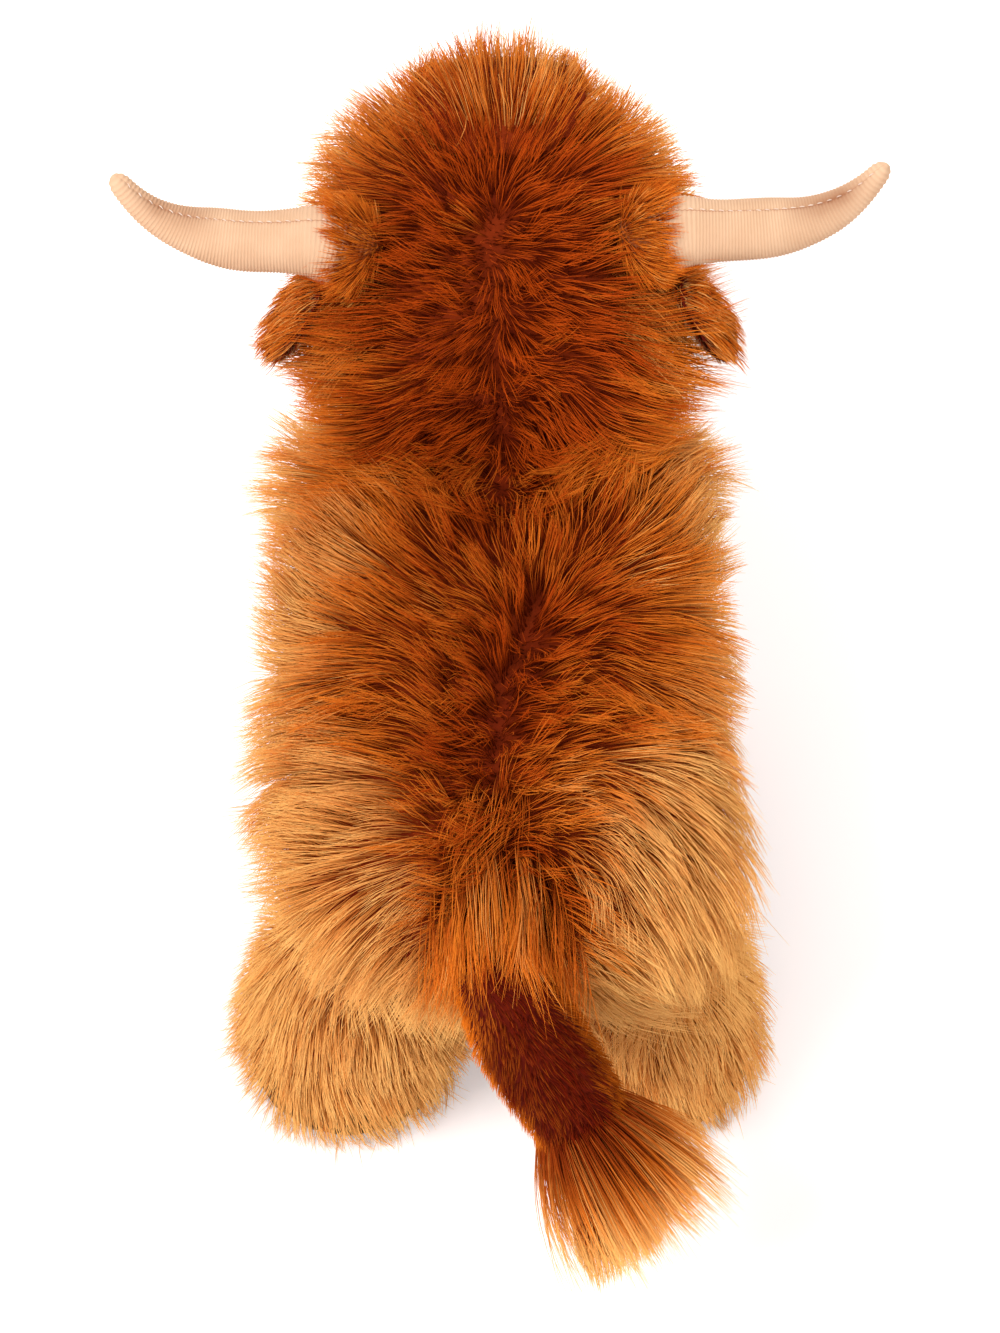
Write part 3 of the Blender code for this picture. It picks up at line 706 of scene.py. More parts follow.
class Surface:
    """Triangles of a mesh as arrays, with smooth normals, for hair to be rooted on."""

    def __init__(self, mesh):
        mesh.calc_loop_triangles()
        self.points = triples(mesh.vertices, "co")
        self.normals = triples(mesh.vertices, "normal")
        self.corners = triples(mesh.loop_triangles, "vertices", np.int32)
        spots = self.points[self.corners]
        cross = np.cross(spots[:, 1] - spots[:, 0], spots[:, 2] - spots[:, 0])
        self.areas = np.linalg.norm(cross, axis=1) / 2.0
        self.middles = spots.mean(axis=1)
        self.facing = unit(cross)
        self.everywhere = self.areas > 0.0

    def roots(self, weights, draw):
        """Places and normals of hairs, as many to a triangle as its weight times its area."""
        wanted = np.cumsum(self.areas * weights)
        count = int(wanted[-1])
        marks = (np.arange(count) + draw.random(count)) * wanted[-1] / max(count, 1)
        triangle = np.minimum(np.searchsorted(wanted, marks), len(self.areas) - 1)
        first, second = draw.random((2, count))
        folded = first + second > 1.0
        first = np.where(folded, 1.0 - first, first)
        second = np.where(folded, 1.0 - second, second)
        mix = np.stack([1.0 - first - second, first, second], axis=1)[:, :, None]
        places = np.sum(self.points[self.corners[triangle]] * mix, axis=1)
        normals = unit(np.sum(self.normals[self.corners[triangle]] * mix, axis=1))
        return places - normals * HAIR_ROOT_DEPTH, normals


# Nodes


def feed(tree, socket, value):
    """Gives a socket a plain value, or a link from another socket."""
    if isinstance(value, bpy.types.NodeSocket):
        tree.links.new(value, socket)
    else:
        socket.default_value = (*value, 1.0) if socket.type == "RGBA" else value


def add_node(tree, kind, inputs=None, **settings):
    """A node with these settings, and with its inputs fed by name or number."""
    node = tree.nodes.new(kind)
    for key, value in settings.items():
        setattr(node, key, value)
    for key, value in (inputs or {}).items():
        feed(tree, node.inputs[key], value)
    return node


def new_group(name, kind, inputs, outputs):
    """A node group with these sockets, and the two nodes at its ends."""
    tree = bpy.data.node_groups.new(name, kind)
    for way, sockets in (("INPUT", inputs), ("OUTPUT", outputs)):
        for socket_name, socket_kind in sockets.items():
            tree.interface.new_socket(socket_name, in_out=way, socket_type=socket_kind)
    return tree, tree.nodes.new("NodeGroupInput"), tree.nodes.new("NodeGroupOutput")


def ramp(tree, stops, factor):
    """The colour that a factor picks from these stops, where a lone number stands for a grey."""
    node = add_node(tree, "ShaderNodeValToRGB", {"Fac": factor})
    elements = node.color_ramp.elements
    while len(elements) < len(stops):
        elements.new(0.5)
    for element, (position, colour) in zip(elements, stops):
        element.position = position
        element.color = (colour, colour, colour, 1.0) if isinstance(colour, float) else (*colour, 1.0)
    return node.outputs["Color"]


def mixed(tree, factor, first, second, blend="MIX"):
    """One colour laid over another."""
    inputs = {0: factor, 6: first, 7: second}
    return add_node(tree, "ShaderNodeMix", inputs, data_type="RGBA", blend_type=blend).outputs[2]


def noise(tree, place, scale, detail):
    inputs = {"Vector": place, "Scale": scale, "Detail": detail}
    return add_node(tree, "ShaderNodeTexNoise", inputs).outputs["Fac"]


def map_axes(tree):
    """The two coordinates of a piece's own map."""
    chart = add_node(tree, "ShaderNodeUVMap", uv_map=BAKE_MAP)
    split = add_node(tree, "ShaderNodeSeparateXYZ", {0: chart.outputs["UV"]})
    return split.outputs["X"], split.outputs["Y"]


# Hair


def hair_lines(roots, normals, runs, lengths, rises, droops, steps):
    """Lines that leave the skin at one angle and bend over to another."""
    shares = np.linspace(0.0, 1.0, steps)
    lines = [roots]
    for start, end in zip(shares, shares[1:]):
        bend = ((start + end) / 2.0) ** BEND_POWER
        angles = np.radians(rises + (droops - rises) * bend)
        heading = normals * np.sin(angles)[:, None] + runs * np.cos(angles)[:, None]
        lines.append(lines[-1] + heading * (lengths * (end - start))[:, None])
    return np.stack(lines, axis=1)


def gathered(lines, hairs_a_lock, pull, draw):
    """Draws hairs together into locks, and says which lock each hair is in."""
    count = len(lines)
    picks = draw.choice(count, max(count // hairs_a_lock, 1), replace=False)
    tree = KDTree(len(picks))
    for index, pick in enumerate(picks):
        tree.insert(lines[pick, 0], index)
    tree.balance()
    nearest = np.array([tree.find(root)[1] for root in lines[:, 0]])
    shares = np.linspace(0.0, 1.0, lines.shape[1]) ** LOCK_POWER
    strength = pull * draw.uniform(*LOCK_PULL_SHARES, count)
    lean = (lines[picks][nearest] - lines) * (strength[:, None] * shares)[:, :, None]
    return lines + lean, nearest


def in_locks(lines, locks, draw):
    """Hair drawn into locks of several sizes, and a tone for each of the smallest."""
    for hairs_a_lock, pull in locks:
        lines, nearest = gathered(lines, hairs_a_lock, pull, draw)
    return lines, draw.normal(0.0, TONE_OF_LOCKS, nearest.max() + 1)[nearest]


def kept_clear(lines, balls, margin):
    """Pushes hair out of a round form that is given as (centre, radius) along its length."""
    for centre, radius in balls:
        offset = lines - centre
        distance = np.linalg.norm(offset, axis=2, keepdims=True)
        pushed = centre + offset / np.maximum(distance, 1e-9) * (radius + margin)
        lines = np.where(distance < radius + margin, pushed, lines)
    return lines


def outside(roots, balls):
    keep = np.ones(len(roots), bool)
    for centre, radius in balls:
        keep &= np.linalg.norm(roots - centre, axis=1) > radius
    return keep


def sweep_tree(sides):
    """Geometry nodes that sweep each line to a closed, tapered strand."""
    form = {"Geometry": "NodeSocketGeometry"}
    tree, source, result = new_group(f"strand sweep {sides}", "GeometryNodeTree", form, form)
    profile = add_node(tree, "GeometryNodeCurvePrimitiveCircle", {"Resolution": sides, "Radius": 1.0})
    girth = add_node(tree, "GeometryNodeInputNamedAttribute", {"Name": "girth"}, data_type="FLOAT")
    inputs = {
        "Curve": source.outputs["Geometry"],
        "Profile Curve": profile.outputs["Curve"],
        "Scale": girth.outputs["Attribute"],
        "Fill Caps": True,
    }
    swept = add_node(tree, "GeometryNodeCurveToMesh", inputs)
    feed(tree, result.inputs["Geometry"], swept.outputs["Mesh"])
    return tree


def swept_mesh(lines, radii, sides):
    """Lines swept to one mesh of closed strands, with a radius for each point of a line."""
    count, steps = lines.shape[:2]
    curves = bpy.data.hair_curves.new("strands")
    curves.add_curves([steps] * count)
    curves.set_types(type="POLY")
    curves.points.foreach_set("position", lines.astype(np.float32).ravel())
    girth = curves.attributes.new("girth", "FLOAT", "POINT")
    girth.data.foreach_set("value", np.tile(radii, count).astype(np.float32))
    holder = bpy.data.objects.new("strands", curves)
    bpy.context.scene.collection.objects.link(holder)
    holder.modifiers.new("sweep", "NODES").node_group = SWEEPS[sides]
    graph = bpy.context.evaluated_depsgraph_get()
    geometry = holder.evaluated_get(graph).evaluated_geometry()
    swept = geometry.mesh.copy()
    bpy.data.objects.remove(holder)
    bpy.data.hair_curves.remove(curves)
    for attribute in list(swept.attributes):
        if attribute.name == "girth":
            swept.attributes.remove(attribute)
    return swept


def strands(lines, radius, tones, sides=HAIR_SIDES, taper_shares=HAIR_TAPER_SHARES):
    """A mesh of tapered strands, whose map holds each one's tone and the share along it."""
    count, steps = lines.shape[:2]
    stations = np.linspace(0.0, 1.0, len(taper_shares))
    taper = np.interp(np.linspace(0.0, 1.0, steps), stations, taper_shares)
    swept = swept_mesh(lines, radius * taper, sides)
    corner = np.empty(len(swept.loops), np.int32)
    swept.loops.foreach_get("vertex_index", corner)
    ring = corner // sides
    across = (corner % sides - 1) * TONE_HALF_WIDTH
    tones = np.broadcast_to(np.reshape(tones, (count, -1)), (count, steps)).ravel()
    spots = np.stack([tones[ring] + across, (ring % steps) / (steps - 1)], axis=1)
    chart = swept.uv_layers.new(name=BAKE_MAP)
    chart.data.foreach_set("uv", spots.astype(np.float32).ravel())
    return swept


def add_hair(name, lines, radius, tones, pile="long_pile", body="torso"):
    """Hair as one or more pieces of few enough strands."""
    tones = np.clip(tones, TONE_MARGIN, 1.0 - TONE_MARGIN)
    lines[:, :, 2] = np.maximum(lines[:, :, 2], FLOOR_CLEARANCE)
    triangles = (lines.shape[1] - 1) * HAIR_SIDES * 2 + 2
    parts = math.ceil(len(lines) * triangles / MOST_TRIANGLES_A_PIECE)
    order = np.argsort(lines[:, 0, 1])
    for number, chosen in enumerate(np.array_split(order, parts), 1):
        piece_name = f"{name}_{number}" if parts > 1 else name
        add_piece(piece_name, strands(lines[chosen], radius, tones[chosen]), pile, body)


def add_thread(name, lines, radius, material):
    """Stitches, or a stitched line, of sewing thread."""
    tones = np.full(len(lines), THREAD_TONE)
    mesh = strands(lines, radius, tones, THREAD_SIDES, THREAD_TAPER_SHARES)
    add_piece(name, mesh, material, "torso")


def one_way_hair(fur, surface, shown, run, draw, balls=()):
    """Hair of this fur that all runs one way, with its roots clear of round forms."""
    places, normals = surface.roots(np.where(shown, fur["density"], 0.0), draw)
    keep = outside(places, balls)
    places, normals = places[keep], normals[keep]
    runs = laid_flat(np.tile(run, (len(places), 1)), normals)
    sway = ripple(places, *fur["sway"]) + draw.normal(0.0, fur["sway_scatter"], len(places))
    lengths = fur["length"] * ragged(places, fur["length_shares"], fur["lengths"], draw)
    rises = fur["rise"] + draw.normal(0.0, fur["rise_scatter"], len(places))
    droops = fur["droop"] + draw.normal(0.0, fur["droop_scatter"], len(places))
    return hair_lines(places, normals, turned(runs, normals, sway), lengths, rises, droops, fur["steps"])


def fringe(name, kind, surface, shown, run, draw, balls=()):
    """Locks of fur that hang over the root of a horn, an ear or the tail."""
    fur = FURS[kind]
    lines = one_way_hair(fur, surface, shown, run, draw, balls)
    lines, tones = in_locks(lines, [(hairs, fur["pull"]) for hairs in FRINGE_LOCKS], draw)
    tones = tones + fur["tone"] + draw.normal(0.0, TONE_SPREAD, len(lines))
    add_hair(name, kept_clear(lines, balls, FRINGE_MARGIN), HAIR_RADIUS, tones)


def short_coat(kind, surface, shown, run, draw):
    """Short hair that all runs one way, drawn together into small locks."""
    lines = one_way_hair(FURS[kind], surface, shown, run, draw)
    return gathered(lines, FURS[kind]["lock"], SHORT_PULL, draw)[0]


# Materials


def strand_map_group():
    """A strand's tone, and the share of the colour of its tip that a place along it has."""
    inputs = {"Root End": "NodeSocketFloat", "Tip Start": "NodeSocketFloat"}
    outputs = {"Tone": "NodeSocketFloat", "Tip Share": "NodeSocketFloat"}
    tree, source, result = new_group("strand map", "ShaderNodeTree", inputs, outputs)
    tone, along = map_axes(tree)
    stops = {"From Min": source.outputs["Root End"], "From Max": source.outputs["Tip Start"]}
    rise = add_node(tree, "ShaderNodeMapRange", {"Value": along, **stops}, interpolation_type="SMOOTHSTEP")
    feed(tree, result.inputs["Tone"], tone)
    feed(tree, result.inputs["Tip Share"], rise.outputs["Result"])
    return tree


def cloth_nap_group():
    """Soft patches between two colours, and the height of a fine nap."""
    inputs = {
        "Dark": "NodeSocketColor",
        "Light": "NodeSocketColor",
        "Patch Scale": "NodeSocketFloat",
        "Nap Scale": "NodeSocketFloat",
    }
    outputs = {"Color": "NodeSocketColor", "Patches": "NodeSocketFloat", "Height": "NodeSocketFloat"}
    tree, source, result = new_group("cloth nap", "ShaderNodeTree", inputs, outputs)
    place = add_node(tree, "ShaderNodeTexCoord").outputs["Object"]
    patches = noise(tree, place, source.outputs["Patch Scale"], PATCH_DETAIL)
    share = add_node(tree, "ShaderNodeMapRange", {"Value": patches, **PATCH_STOPS}).outputs["Result"]
    colour = mixed(tree, share, source.outputs["Dark"], source.outputs["Light"])
    feed(tree, result.inputs["Color"], colour)
    feed(tree, result.inputs["Patches"], patches)
    feed(tree, result.inputs["Height"], noise(tree, place, source.outputs["Nap Scale"], NAP_DETAIL))
    return tree


def new_material(name, roughness, specular, sheen=0.0, tint=WHITE):
    material = bpy.data.materials.new(name)
    material.use_nodes = True
    tree = material.node_tree
    shader = tree.nodes["Principled BSDF"]
    feed(tree, shader.inputs["Roughness"], roughness)
    feed(tree, shader.inputs["Specular IOR Level"], specular)
    feed(tree, shader.inputs["Sheen Weight"], sheen)
    feed(tree, shader.inputs["Sheen Tint"], tint)
    return material, tree, shader


def pile_material(group, label, roots, tips, roughness, sheen=0.0, tint=WHITE):
    """Hair whose colour runs from its root to its tip, by the strands' own map of tones."""
    material, tree, shader = new_material(label, roughness, PILE_SPECULAR, sheen, tint)
    strand = add_node(tree, "ShaderNodeGroup", PILE_STOPS, node_tree=group)
    tone = strand.outputs["Tone"]
    colour = mixed(tree, strand.outputs["Tip Share"], ramp(tree, roots, tone), ramp(tree, tips, tone))
    feed(tree, shader.inputs["Base Color"], colour)
    return material


def cloth_material(
    group,
    label,
    dark,
    light,
    patches,
    roughness=0.9,
    specular=CLOTH_SPECULAR,
    sheen=0.2,
    nap=0.3,
    nap_scale=900.0,
):
    """Plain cloth with soft changes of colour and a fine nap."""
    material, tree, shader = new_material(label, roughness, specular, sheen)
    inputs = {"Dark": dark, "Light": light, "Patch Scale": patches, "Nap Scale": nap_scale}
    cloth = add_node(tree, "ShaderNodeGroup", inputs, node_tree=group)
    relief = {"Strength": nap, "Distance": NAP_HEIGHT, "Height": cloth.outputs["Height"]}
    feed(tree, shader.inputs["Base Color"], cloth.outputs["Color"])
    feed(tree, shader.inputs["Normal"], add_node(tree, "ShaderNodeBump", relief).outputs["Normal"])
    return material


def painted_rib_shade(tree, along, ribs):
    """How much painted shade darkens the grooves between a horn's ribs."""
    phase = add_node(tree, "ShaderNodeMath", {0: along, 1: math.tau * ribs}, operation="MULTIPLY")
    wave = add_node(tree, "ShaderNodeMath", {0: phase.outputs["Value"]}, operation="COSINE")
    inputs = {"Value": wave.outputs["Value"], "From Min": 1.0, "From Max": -1.0, "To Max": RIB_SHADE}
    return add_node(tree, "ShaderNodeMapRange", inputs).outputs["Result"]


def horn_material(group, ribs):
    """Ribbed cloth with a brown shade sprayed along the seam, near the tip, and a dark seam line, with
    painted shade where the fur covers the root and in the grooves between the ribs.
    """
    material, tree, shader = new_material("ribbed horn cloth", HORN_ROUGHNESS, CLOTH_SPECULAR)
    inputs = {
        "Dark": HORN_COLOURS["plain"],
        "Light": HORN_COLOURS["light"],
        "Patch Scale": HORN_PATCH_SCALE,
    }
    cloth = add_node(tree, "ShaderNodeGroup", inputs, node_tree=group)
    along, around = map_axes(tree)
    near_tip = ramp(tree, SPRAYED_ALONG, along)
    near_seam = ramp(tree, SPRAYED_AROUND, around)
    patches = ramp(tree, SPRAYED_PATCHES, cloth.outputs["Patches"])
    shade = mixed(tree, 1.0, mixed(tree, 1.0, near_tip, near_seam, "MULTIPLY"), patches, "MULTIPLY")
    colour = mixed(tree, shade, cloth.outputs["Color"], HORN_COLOURS["shade"])
    # painted shade where the fur covers the root
    colour = mixed(tree, ramp(tree, PAINTED_ROOT_SHADE, along), colour, HORN_COLOURS["root"])
    # painted shade in the grooves between the ribs
    colour = mixed(tree, painted_rib_shade(tree, along, ribs), colour, HORN_COLOURS["seam"])
    colour = mixed(tree, ramp(tree, SEAM_LINE, around), colour, HORN_COLOURS["seam"])
    feed(tree, shader.inputs["Base Color"], colour)
    return material


def make_materials():
    strand_map = strand_map_group()
    cloth_nap = cloth_nap_group()
    for name, look in PILES.items():
        MATERIALS[name] = pile_material(strand_map, **look)
    for name, look in CLOTHS.items():
        MATERIALS[name] = cloth_material(cloth_nap, **look)
    MATERIALS["horn_cloth"] = horn_material(cloth_nap, Horn("left").ribs)


# Skin and partings


def region_nodes():
    """The nodes of each hairy region of the torso."""
    regions = {
        "body": ["body_pelt_left", "body_pelt_right", "belly_gusset", "body_filling"],
        "head": ["head_pelt_left", "head_pelt_right", "head_filling"],
    }
    for end in LEG_ENDS:
        for side in SIDES:
            leg = f"{end}_leg_{side}"
            regions[leg] = [f"{leg}_pelt", f"{leg}_filling", f"{leg}_sole"]
    return regions


def parting_line(nodes, shares, tree):
    """A parting on top of these nodes: across it as shares, and along it from the rear."""
    lows, highs = zip(*(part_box(node) for node in nodes))
    low = np.min(lows, axis=0)
    high = np.max(highs, axis=0)
    line = []
    for across, along in shares:
        above = Vector((across * high[0], high[1] + (low[1] - high[1]) * along, 2.0 * high[2]))
        line.append(np.array(tree.ray_cast(above, Vector((0, 0, -1)))[0]))
    return np.array(line)


def nearest_on(places, line):
    """The nearest point of a broken line to each place, and how far it is."""
    best = np.full(len(places), np.inf)
    feet = np.zeros_like(places)
    for start, end in zip(line, line[1:]):
        run = end - start
        share = np.clip((places - start) @ run / (run @ run), 0.0, 1.0)
        foot = start + share[:, None] * run
        distance = np.linalg.norm(places - foot, axis=1)
        feet = np.where((distance < best)[:, None], foot, feet)
        best = np.minimum(distance, best)
    return feet, best


def distance_to(places, partings):
    return np.min([nearest_on(places, line)[1] for line in partings], axis=0)


def combed(places, normals, partings):
    """The way the hair runs: away from the partings and down, forward at the shoulders, back at the rump."""
    total = np.zeros_like(places)
    for line, reach in zip(partings, PARTING_REACH_SHARES):
        feet, distance = nearest_on(places, line)
        weight = 1.0 / ((distance / reach) ** PARTING_WEIGHT_POWER + 1e-12)
        total += unit(places - feet) * weight[:, None]
    share = np.where(places[:, 0] > 0.0, BACKWARD_SHARES["left"], BACKWARD_SHARES["right"])
    share = share * smooth_step(np.abs(places[:, 0]), 0.0, BACKWARD_WIDTH)
    backward = share * smooth_step(places[:, 1], *BACKWARD_PLACES)
    shoulder = smooth_step(places[:, 1], *FORWARD_PLACES) * (1.0 - smooth_step(places[:, 1], *FORWARD_ENDS))
    drift = np.zeros_like(places)
    drift[:, 1] = backward - FORWARD_SHARE * shoulder
    drift[:, 2] = -DOWNWARD_SHARE
    return laid_flat(unit(total) + drift, normals)


def combed_on_leg(places, normals, leg):
    """The way the hair runs on a leg: outwards from its middle, back and down."""
    offset = places - np.mean(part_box(f"{leg}_pelt"), axis=0)
    offset[:, 2] = 0.0
    return laid_flat(unit(offset) + LEG_RUN, normals)


def region_of(surface, regions):
    """The region whose solids lie nearest to each triangle."""
    best = np.full(len(surface.middles), np.inf)
    label = np.zeros(len(surface.middles), int)
    for number, nodes in enumerate(regions.values()):
        tree = search_tree(node_mesh(*nodes))
        distance = np.array([tree.find_nearest(Vector(place))[3] for place in surface.middles])
        label = np.where(distance < best, number, label)
        best = np.minimum(best, distance)
    return label


def make_skin():
    """The cloth under the long hair, in one piece over the body, the head and the legs."""
    nodes = [node for names in region_nodes().values() for node in names]
    mesh = soft_copy(nodes, SKIN_VOXEL, SKIN_DEPTH)
    skin = add_piece("pelt_backing", mesh, "backing", "torso")
    covered = [node for node in nodes if "filling" not in node and "sole" not in node]
    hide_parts(*covered)
    return mesh


# Coat


def ruff_share(places):
    """How much longer the hair is at the sides of the neck, which it fills out."""
    side = smooth_step(np.abs(places[:, 0]), *RUFF_WIDTHS)
    near = 1.0 - smooth_step(np.abs(places[:, 1] + RUFF_PLACE), 0.0, RUFF_REACH)
    return 1.0 + (RUFF_LENGTH_SHARE - 1.0) * side * near


def round_ears(places):
    """How much longer the hair is that hangs over the roots of the ears."""
    share = np.ones(len(places))
    for side in SIDES:
        away = np.linalg.norm(places - joint_place(f"ear_{side}_flap"), axis=1)
        share = share + (EAR_FUR_SHARE - 1.0) * (1.0 - smooth_step(away, *EAR_FUR_REACHES))
    return share


def beside_horns(places, horns):
    """How much shorter the hair is where it would hide the horns."""
    share = np.ones(len(places))
    for horn in horns:
        offset = places - horn.root
        beside = 1.0 - smooth_step(np.abs(offset[:, 1]), *HORN_SHORT_PLACES)
        outward = smooth_step(offset[:, 0] * horn.sign, *HORN_SHORT_WIDTHS)
        share = share * (1.0 - (1.0 - HORN_SHORT_SHARE) * beside * outward)
    return share


def hem_share(places):
    """How much longer the hair is along the hem of the rump, where it hangs over the legs."""
    rear = smooth_step(places[:, 1], *HEM_PLACES)
    low = 1.0 - smooth_step(places[:, 2], *HEM_HEIGHTS)
    longest = np.where(places[:, 0] > 0.0, HEM_LENGTH_SHARES["left"], HEM_LENGTH_SHARES["right"])
    return 1.0 + (longest - 1.0) * rear * low


def flank_share(places):
    """How much shorter the hair is on the right flank, ahead of the rump."""
    flank = smooth_step(-places[:, 0], *FLANK_WIDTHS) * (1.0 - smooth_step(places[:, 1], *FLANK_PLACES))
    return 1.0 - (1.0 - RIGHT_FLANK_SHARE) * flank


def round_eyes(places, eyes):
    """How much shorter the hair is round the eyes."""
    share = np.ones(len(places))
    for centre, _ in eyes:
        away = np.linalg.norm(places - centre, axis=1)
        free = smooth_step(away, EYE_CLEARING * EYE_CLEARING_START_SHARE, EYE_CLEARING)
        share = share * (EYE_HAIR_SHARE + (1.0 - EYE_HAIR_SHARE) * free)
    return share


def length_share(region, places, horns, eyes):
    """How much longer or shorter a region's hair is by its place on the cow."""
    share = round_eyes(places, eyes)
    if region == "body":
        share = share * hem_share(places) * flank_share(places)
    if region == "head":
        share = share * round_ears(places) * beside_horns(places, horns)
    if "leg" not in region:
        share = share * ruff_share(places)
    return share


def coat_weights(surface, covered, density, partings):
    """Hairs to a square metre: more at the partings and the ruff, and few where nothing shows."""
    weights = np.where(covered, density, 0.0)
    weights = weights * np.where(surface.facing[:, 2] < UNSEEN_FACING, UNSEEN_DENSITY_SHARE, 1.0)
    distance = distance_to(surface.middles, partings)
    fuller = (PARTING_DENSITY_SHARE - 1.0) * (1.0 - smooth_step(distance, *PARTING_DENSITY_FADES))
    ruff = (ruff_share(surface.middles) - 1.0) / (RUFF_LENGTH_SHARE - 1.0)
    return weights * (1.0 + fuller + (RUFF_DENSITY_SHARE - 1.0) * ruff)


def coat_form(places, normals, runs, distance, kind, draw):
    """The way, the angles and the length of each combed hair, which stands up along a parting."""
    near = 1.0 - smooth_step(distance, *PARTING_FADES)
    sway = sum(ripple(places, *waves) for waves in COAT_SWAYS) + near * ripple(places, *PARTING_SWAY)
    sway = sway + draw.normal(0.0, COAT_SWAY_SCATTER, len(places))
    rises = kind["rise"] + (PARTING_RISE - kind["rise"]) * near + ripple(places, *COAT_RISES)
    droops = kind["droop"] + (PARTING_DROOP - kind["droop"]) * near + ripple(places, *COAT_DROOPS)
    droops = droops + draw.normal(0.0, COAT_DROOP_SCATTER, len(places))
    lengths = kind["length"] * (1.0 - (1.0 - PARTING_LENGTH_SHARE) * near)
    lengths = lengths * ragged(places, COAT_LENGTH_SHARES, COAT_LENGTHS, draw)
    return turned(runs, normals, sway), lengths, rises, droops


def coat_tones(region, places, normals, distance, draw):
    """Dark along the parting, and light away from it and at the rump, with painted rim light where the form
    turns away from the camera.
    """
    reach = 1.0 + REAR_TONE_REACH_SHARE * smooth_step(places[:, 1], *REAR_TONE_PLACES)
    if region == "head":
        reach = reach + HEAD_TONE_REACH_SHARE
    tones = smooth_step(distance * reach, 0.0, TONE_REACH) * TONE_GAIN + TONE_AT_PARTING
    # painted rim light where the surface turns away from the camera
    if "leg" not in region:
        tones = tones + RIM_LIGHT_TONE * (1.0 - smooth_step(normals @ EDGE_FACING, 0.0, RIM_LIGHT_FACING_END))
    if region == "head":
        tones = tones + HEAD_TONE
    return tones + ripple(places, *TONE_RIPPLE) + draw.normal(0.0, TONE_SPREAD, len(places))


def coat_of(region, surface, covered, partings, horns, eyes, draw):
    """The long hair of one region, as lines with a tone at each of their points."""
    kind = HAIR_REGIONS[region.removesuffix("_left").removesuffix("_right")]
    obstacles = [ball for horn in horns for ball in horn.balls()] + eyes
    places, normals = surface.roots(coat_weights(surface, covered, kind["density"], partings), draw)
    keep = outside(places, obstacles) & (places[:, 2] > LOWEST_ROOT)
    places, normals = places[keep], normals[keep]
    distance = distance_to(places, partings)
    if "leg" in region:
        runs = combed_on_leg(places, normals, region)
    else:
        runs = combed(places, normals, partings)
        neck = np.array([partings[1][-1], partings[0][0]])
        distance = np.minimum(distance, distance_to(places, [neck]))
    runs, lengths, rises, droops = coat_form(places, normals, runs, distance, kind, draw)
    lengths = lengths * length_share(region, places, horns, eyes)
    lines = hair_lines(places, normals, runs, lengths, rises, droops, HAIR_STEPS)
    lines, tones = in_locks(lines, kind["locks"], draw)
    tones = tones + coat_tones(region, places, normals, distance, draw)
    tones = tones[:, None] + TIP_TONE * np.linspace(-0.5, 0.5, HAIR_STEPS)
    return kept_clear(lines, obstacles, COAT_MARGIN), tones


def make_coat(mesh, horns, eyes):
    """The long hair, region by region, with the body's and the head's in two halves."""
    surface = Surface(mesh)
    regions = region_nodes()
    label = region_of(surface, regions)
    tree = tree_of(mesh)
    partings = [
        parting_line(regions["body"], BACK_PARTING_SHARES, tree),
        parting_line(regions["head"], HEAD_PARTING_SHARES, tree),
    ]
    for number, region in enumerate(regions):
        draw = draws("coat", number)
        lines, tones = coat_of(region, surface, label == number, partings, horns, eyes, draw)
        if "leg" in region:
            add_hair(f"{region}_fur", lines, HAIR_RADIUS, tones)
            continue
        for side, sign in SIDES.items():
            chosen = lines[:, 0, 0] * sign > 0.0
            add_hair(f"{region}_fur_{side}", lines[chosen], HAIR_RADIUS, tones[chosen])


# Horns


def rolled(along_steps, around_steps, place):
    """A grid rolled to a closed form, with its ends drawn to points, by a rule for its places."""
    bm = bmesh.new()
    bm.loops.layers.uv.new(BAKE_MAP)
    bmesh.ops.create_grid(bm, x_segments=along_steps, y_segments=around_steps, size=0.5, calc_uvs=True)
    shares = np.array([vert.co[:2] for vert in bm.verts]) + 0.5
    for vert, spot in zip(bm.verts, place(shares[:, 0], shares[:, 1])):
        vert.co = spot
    bmesh.ops.remove_doubles(bm, verts=bm.verts, dist=MERGE_DISTANCE)
    bmesh.ops.recalc_face_normals(bm, faces=bm.faces)
    return as_mesh(bm)


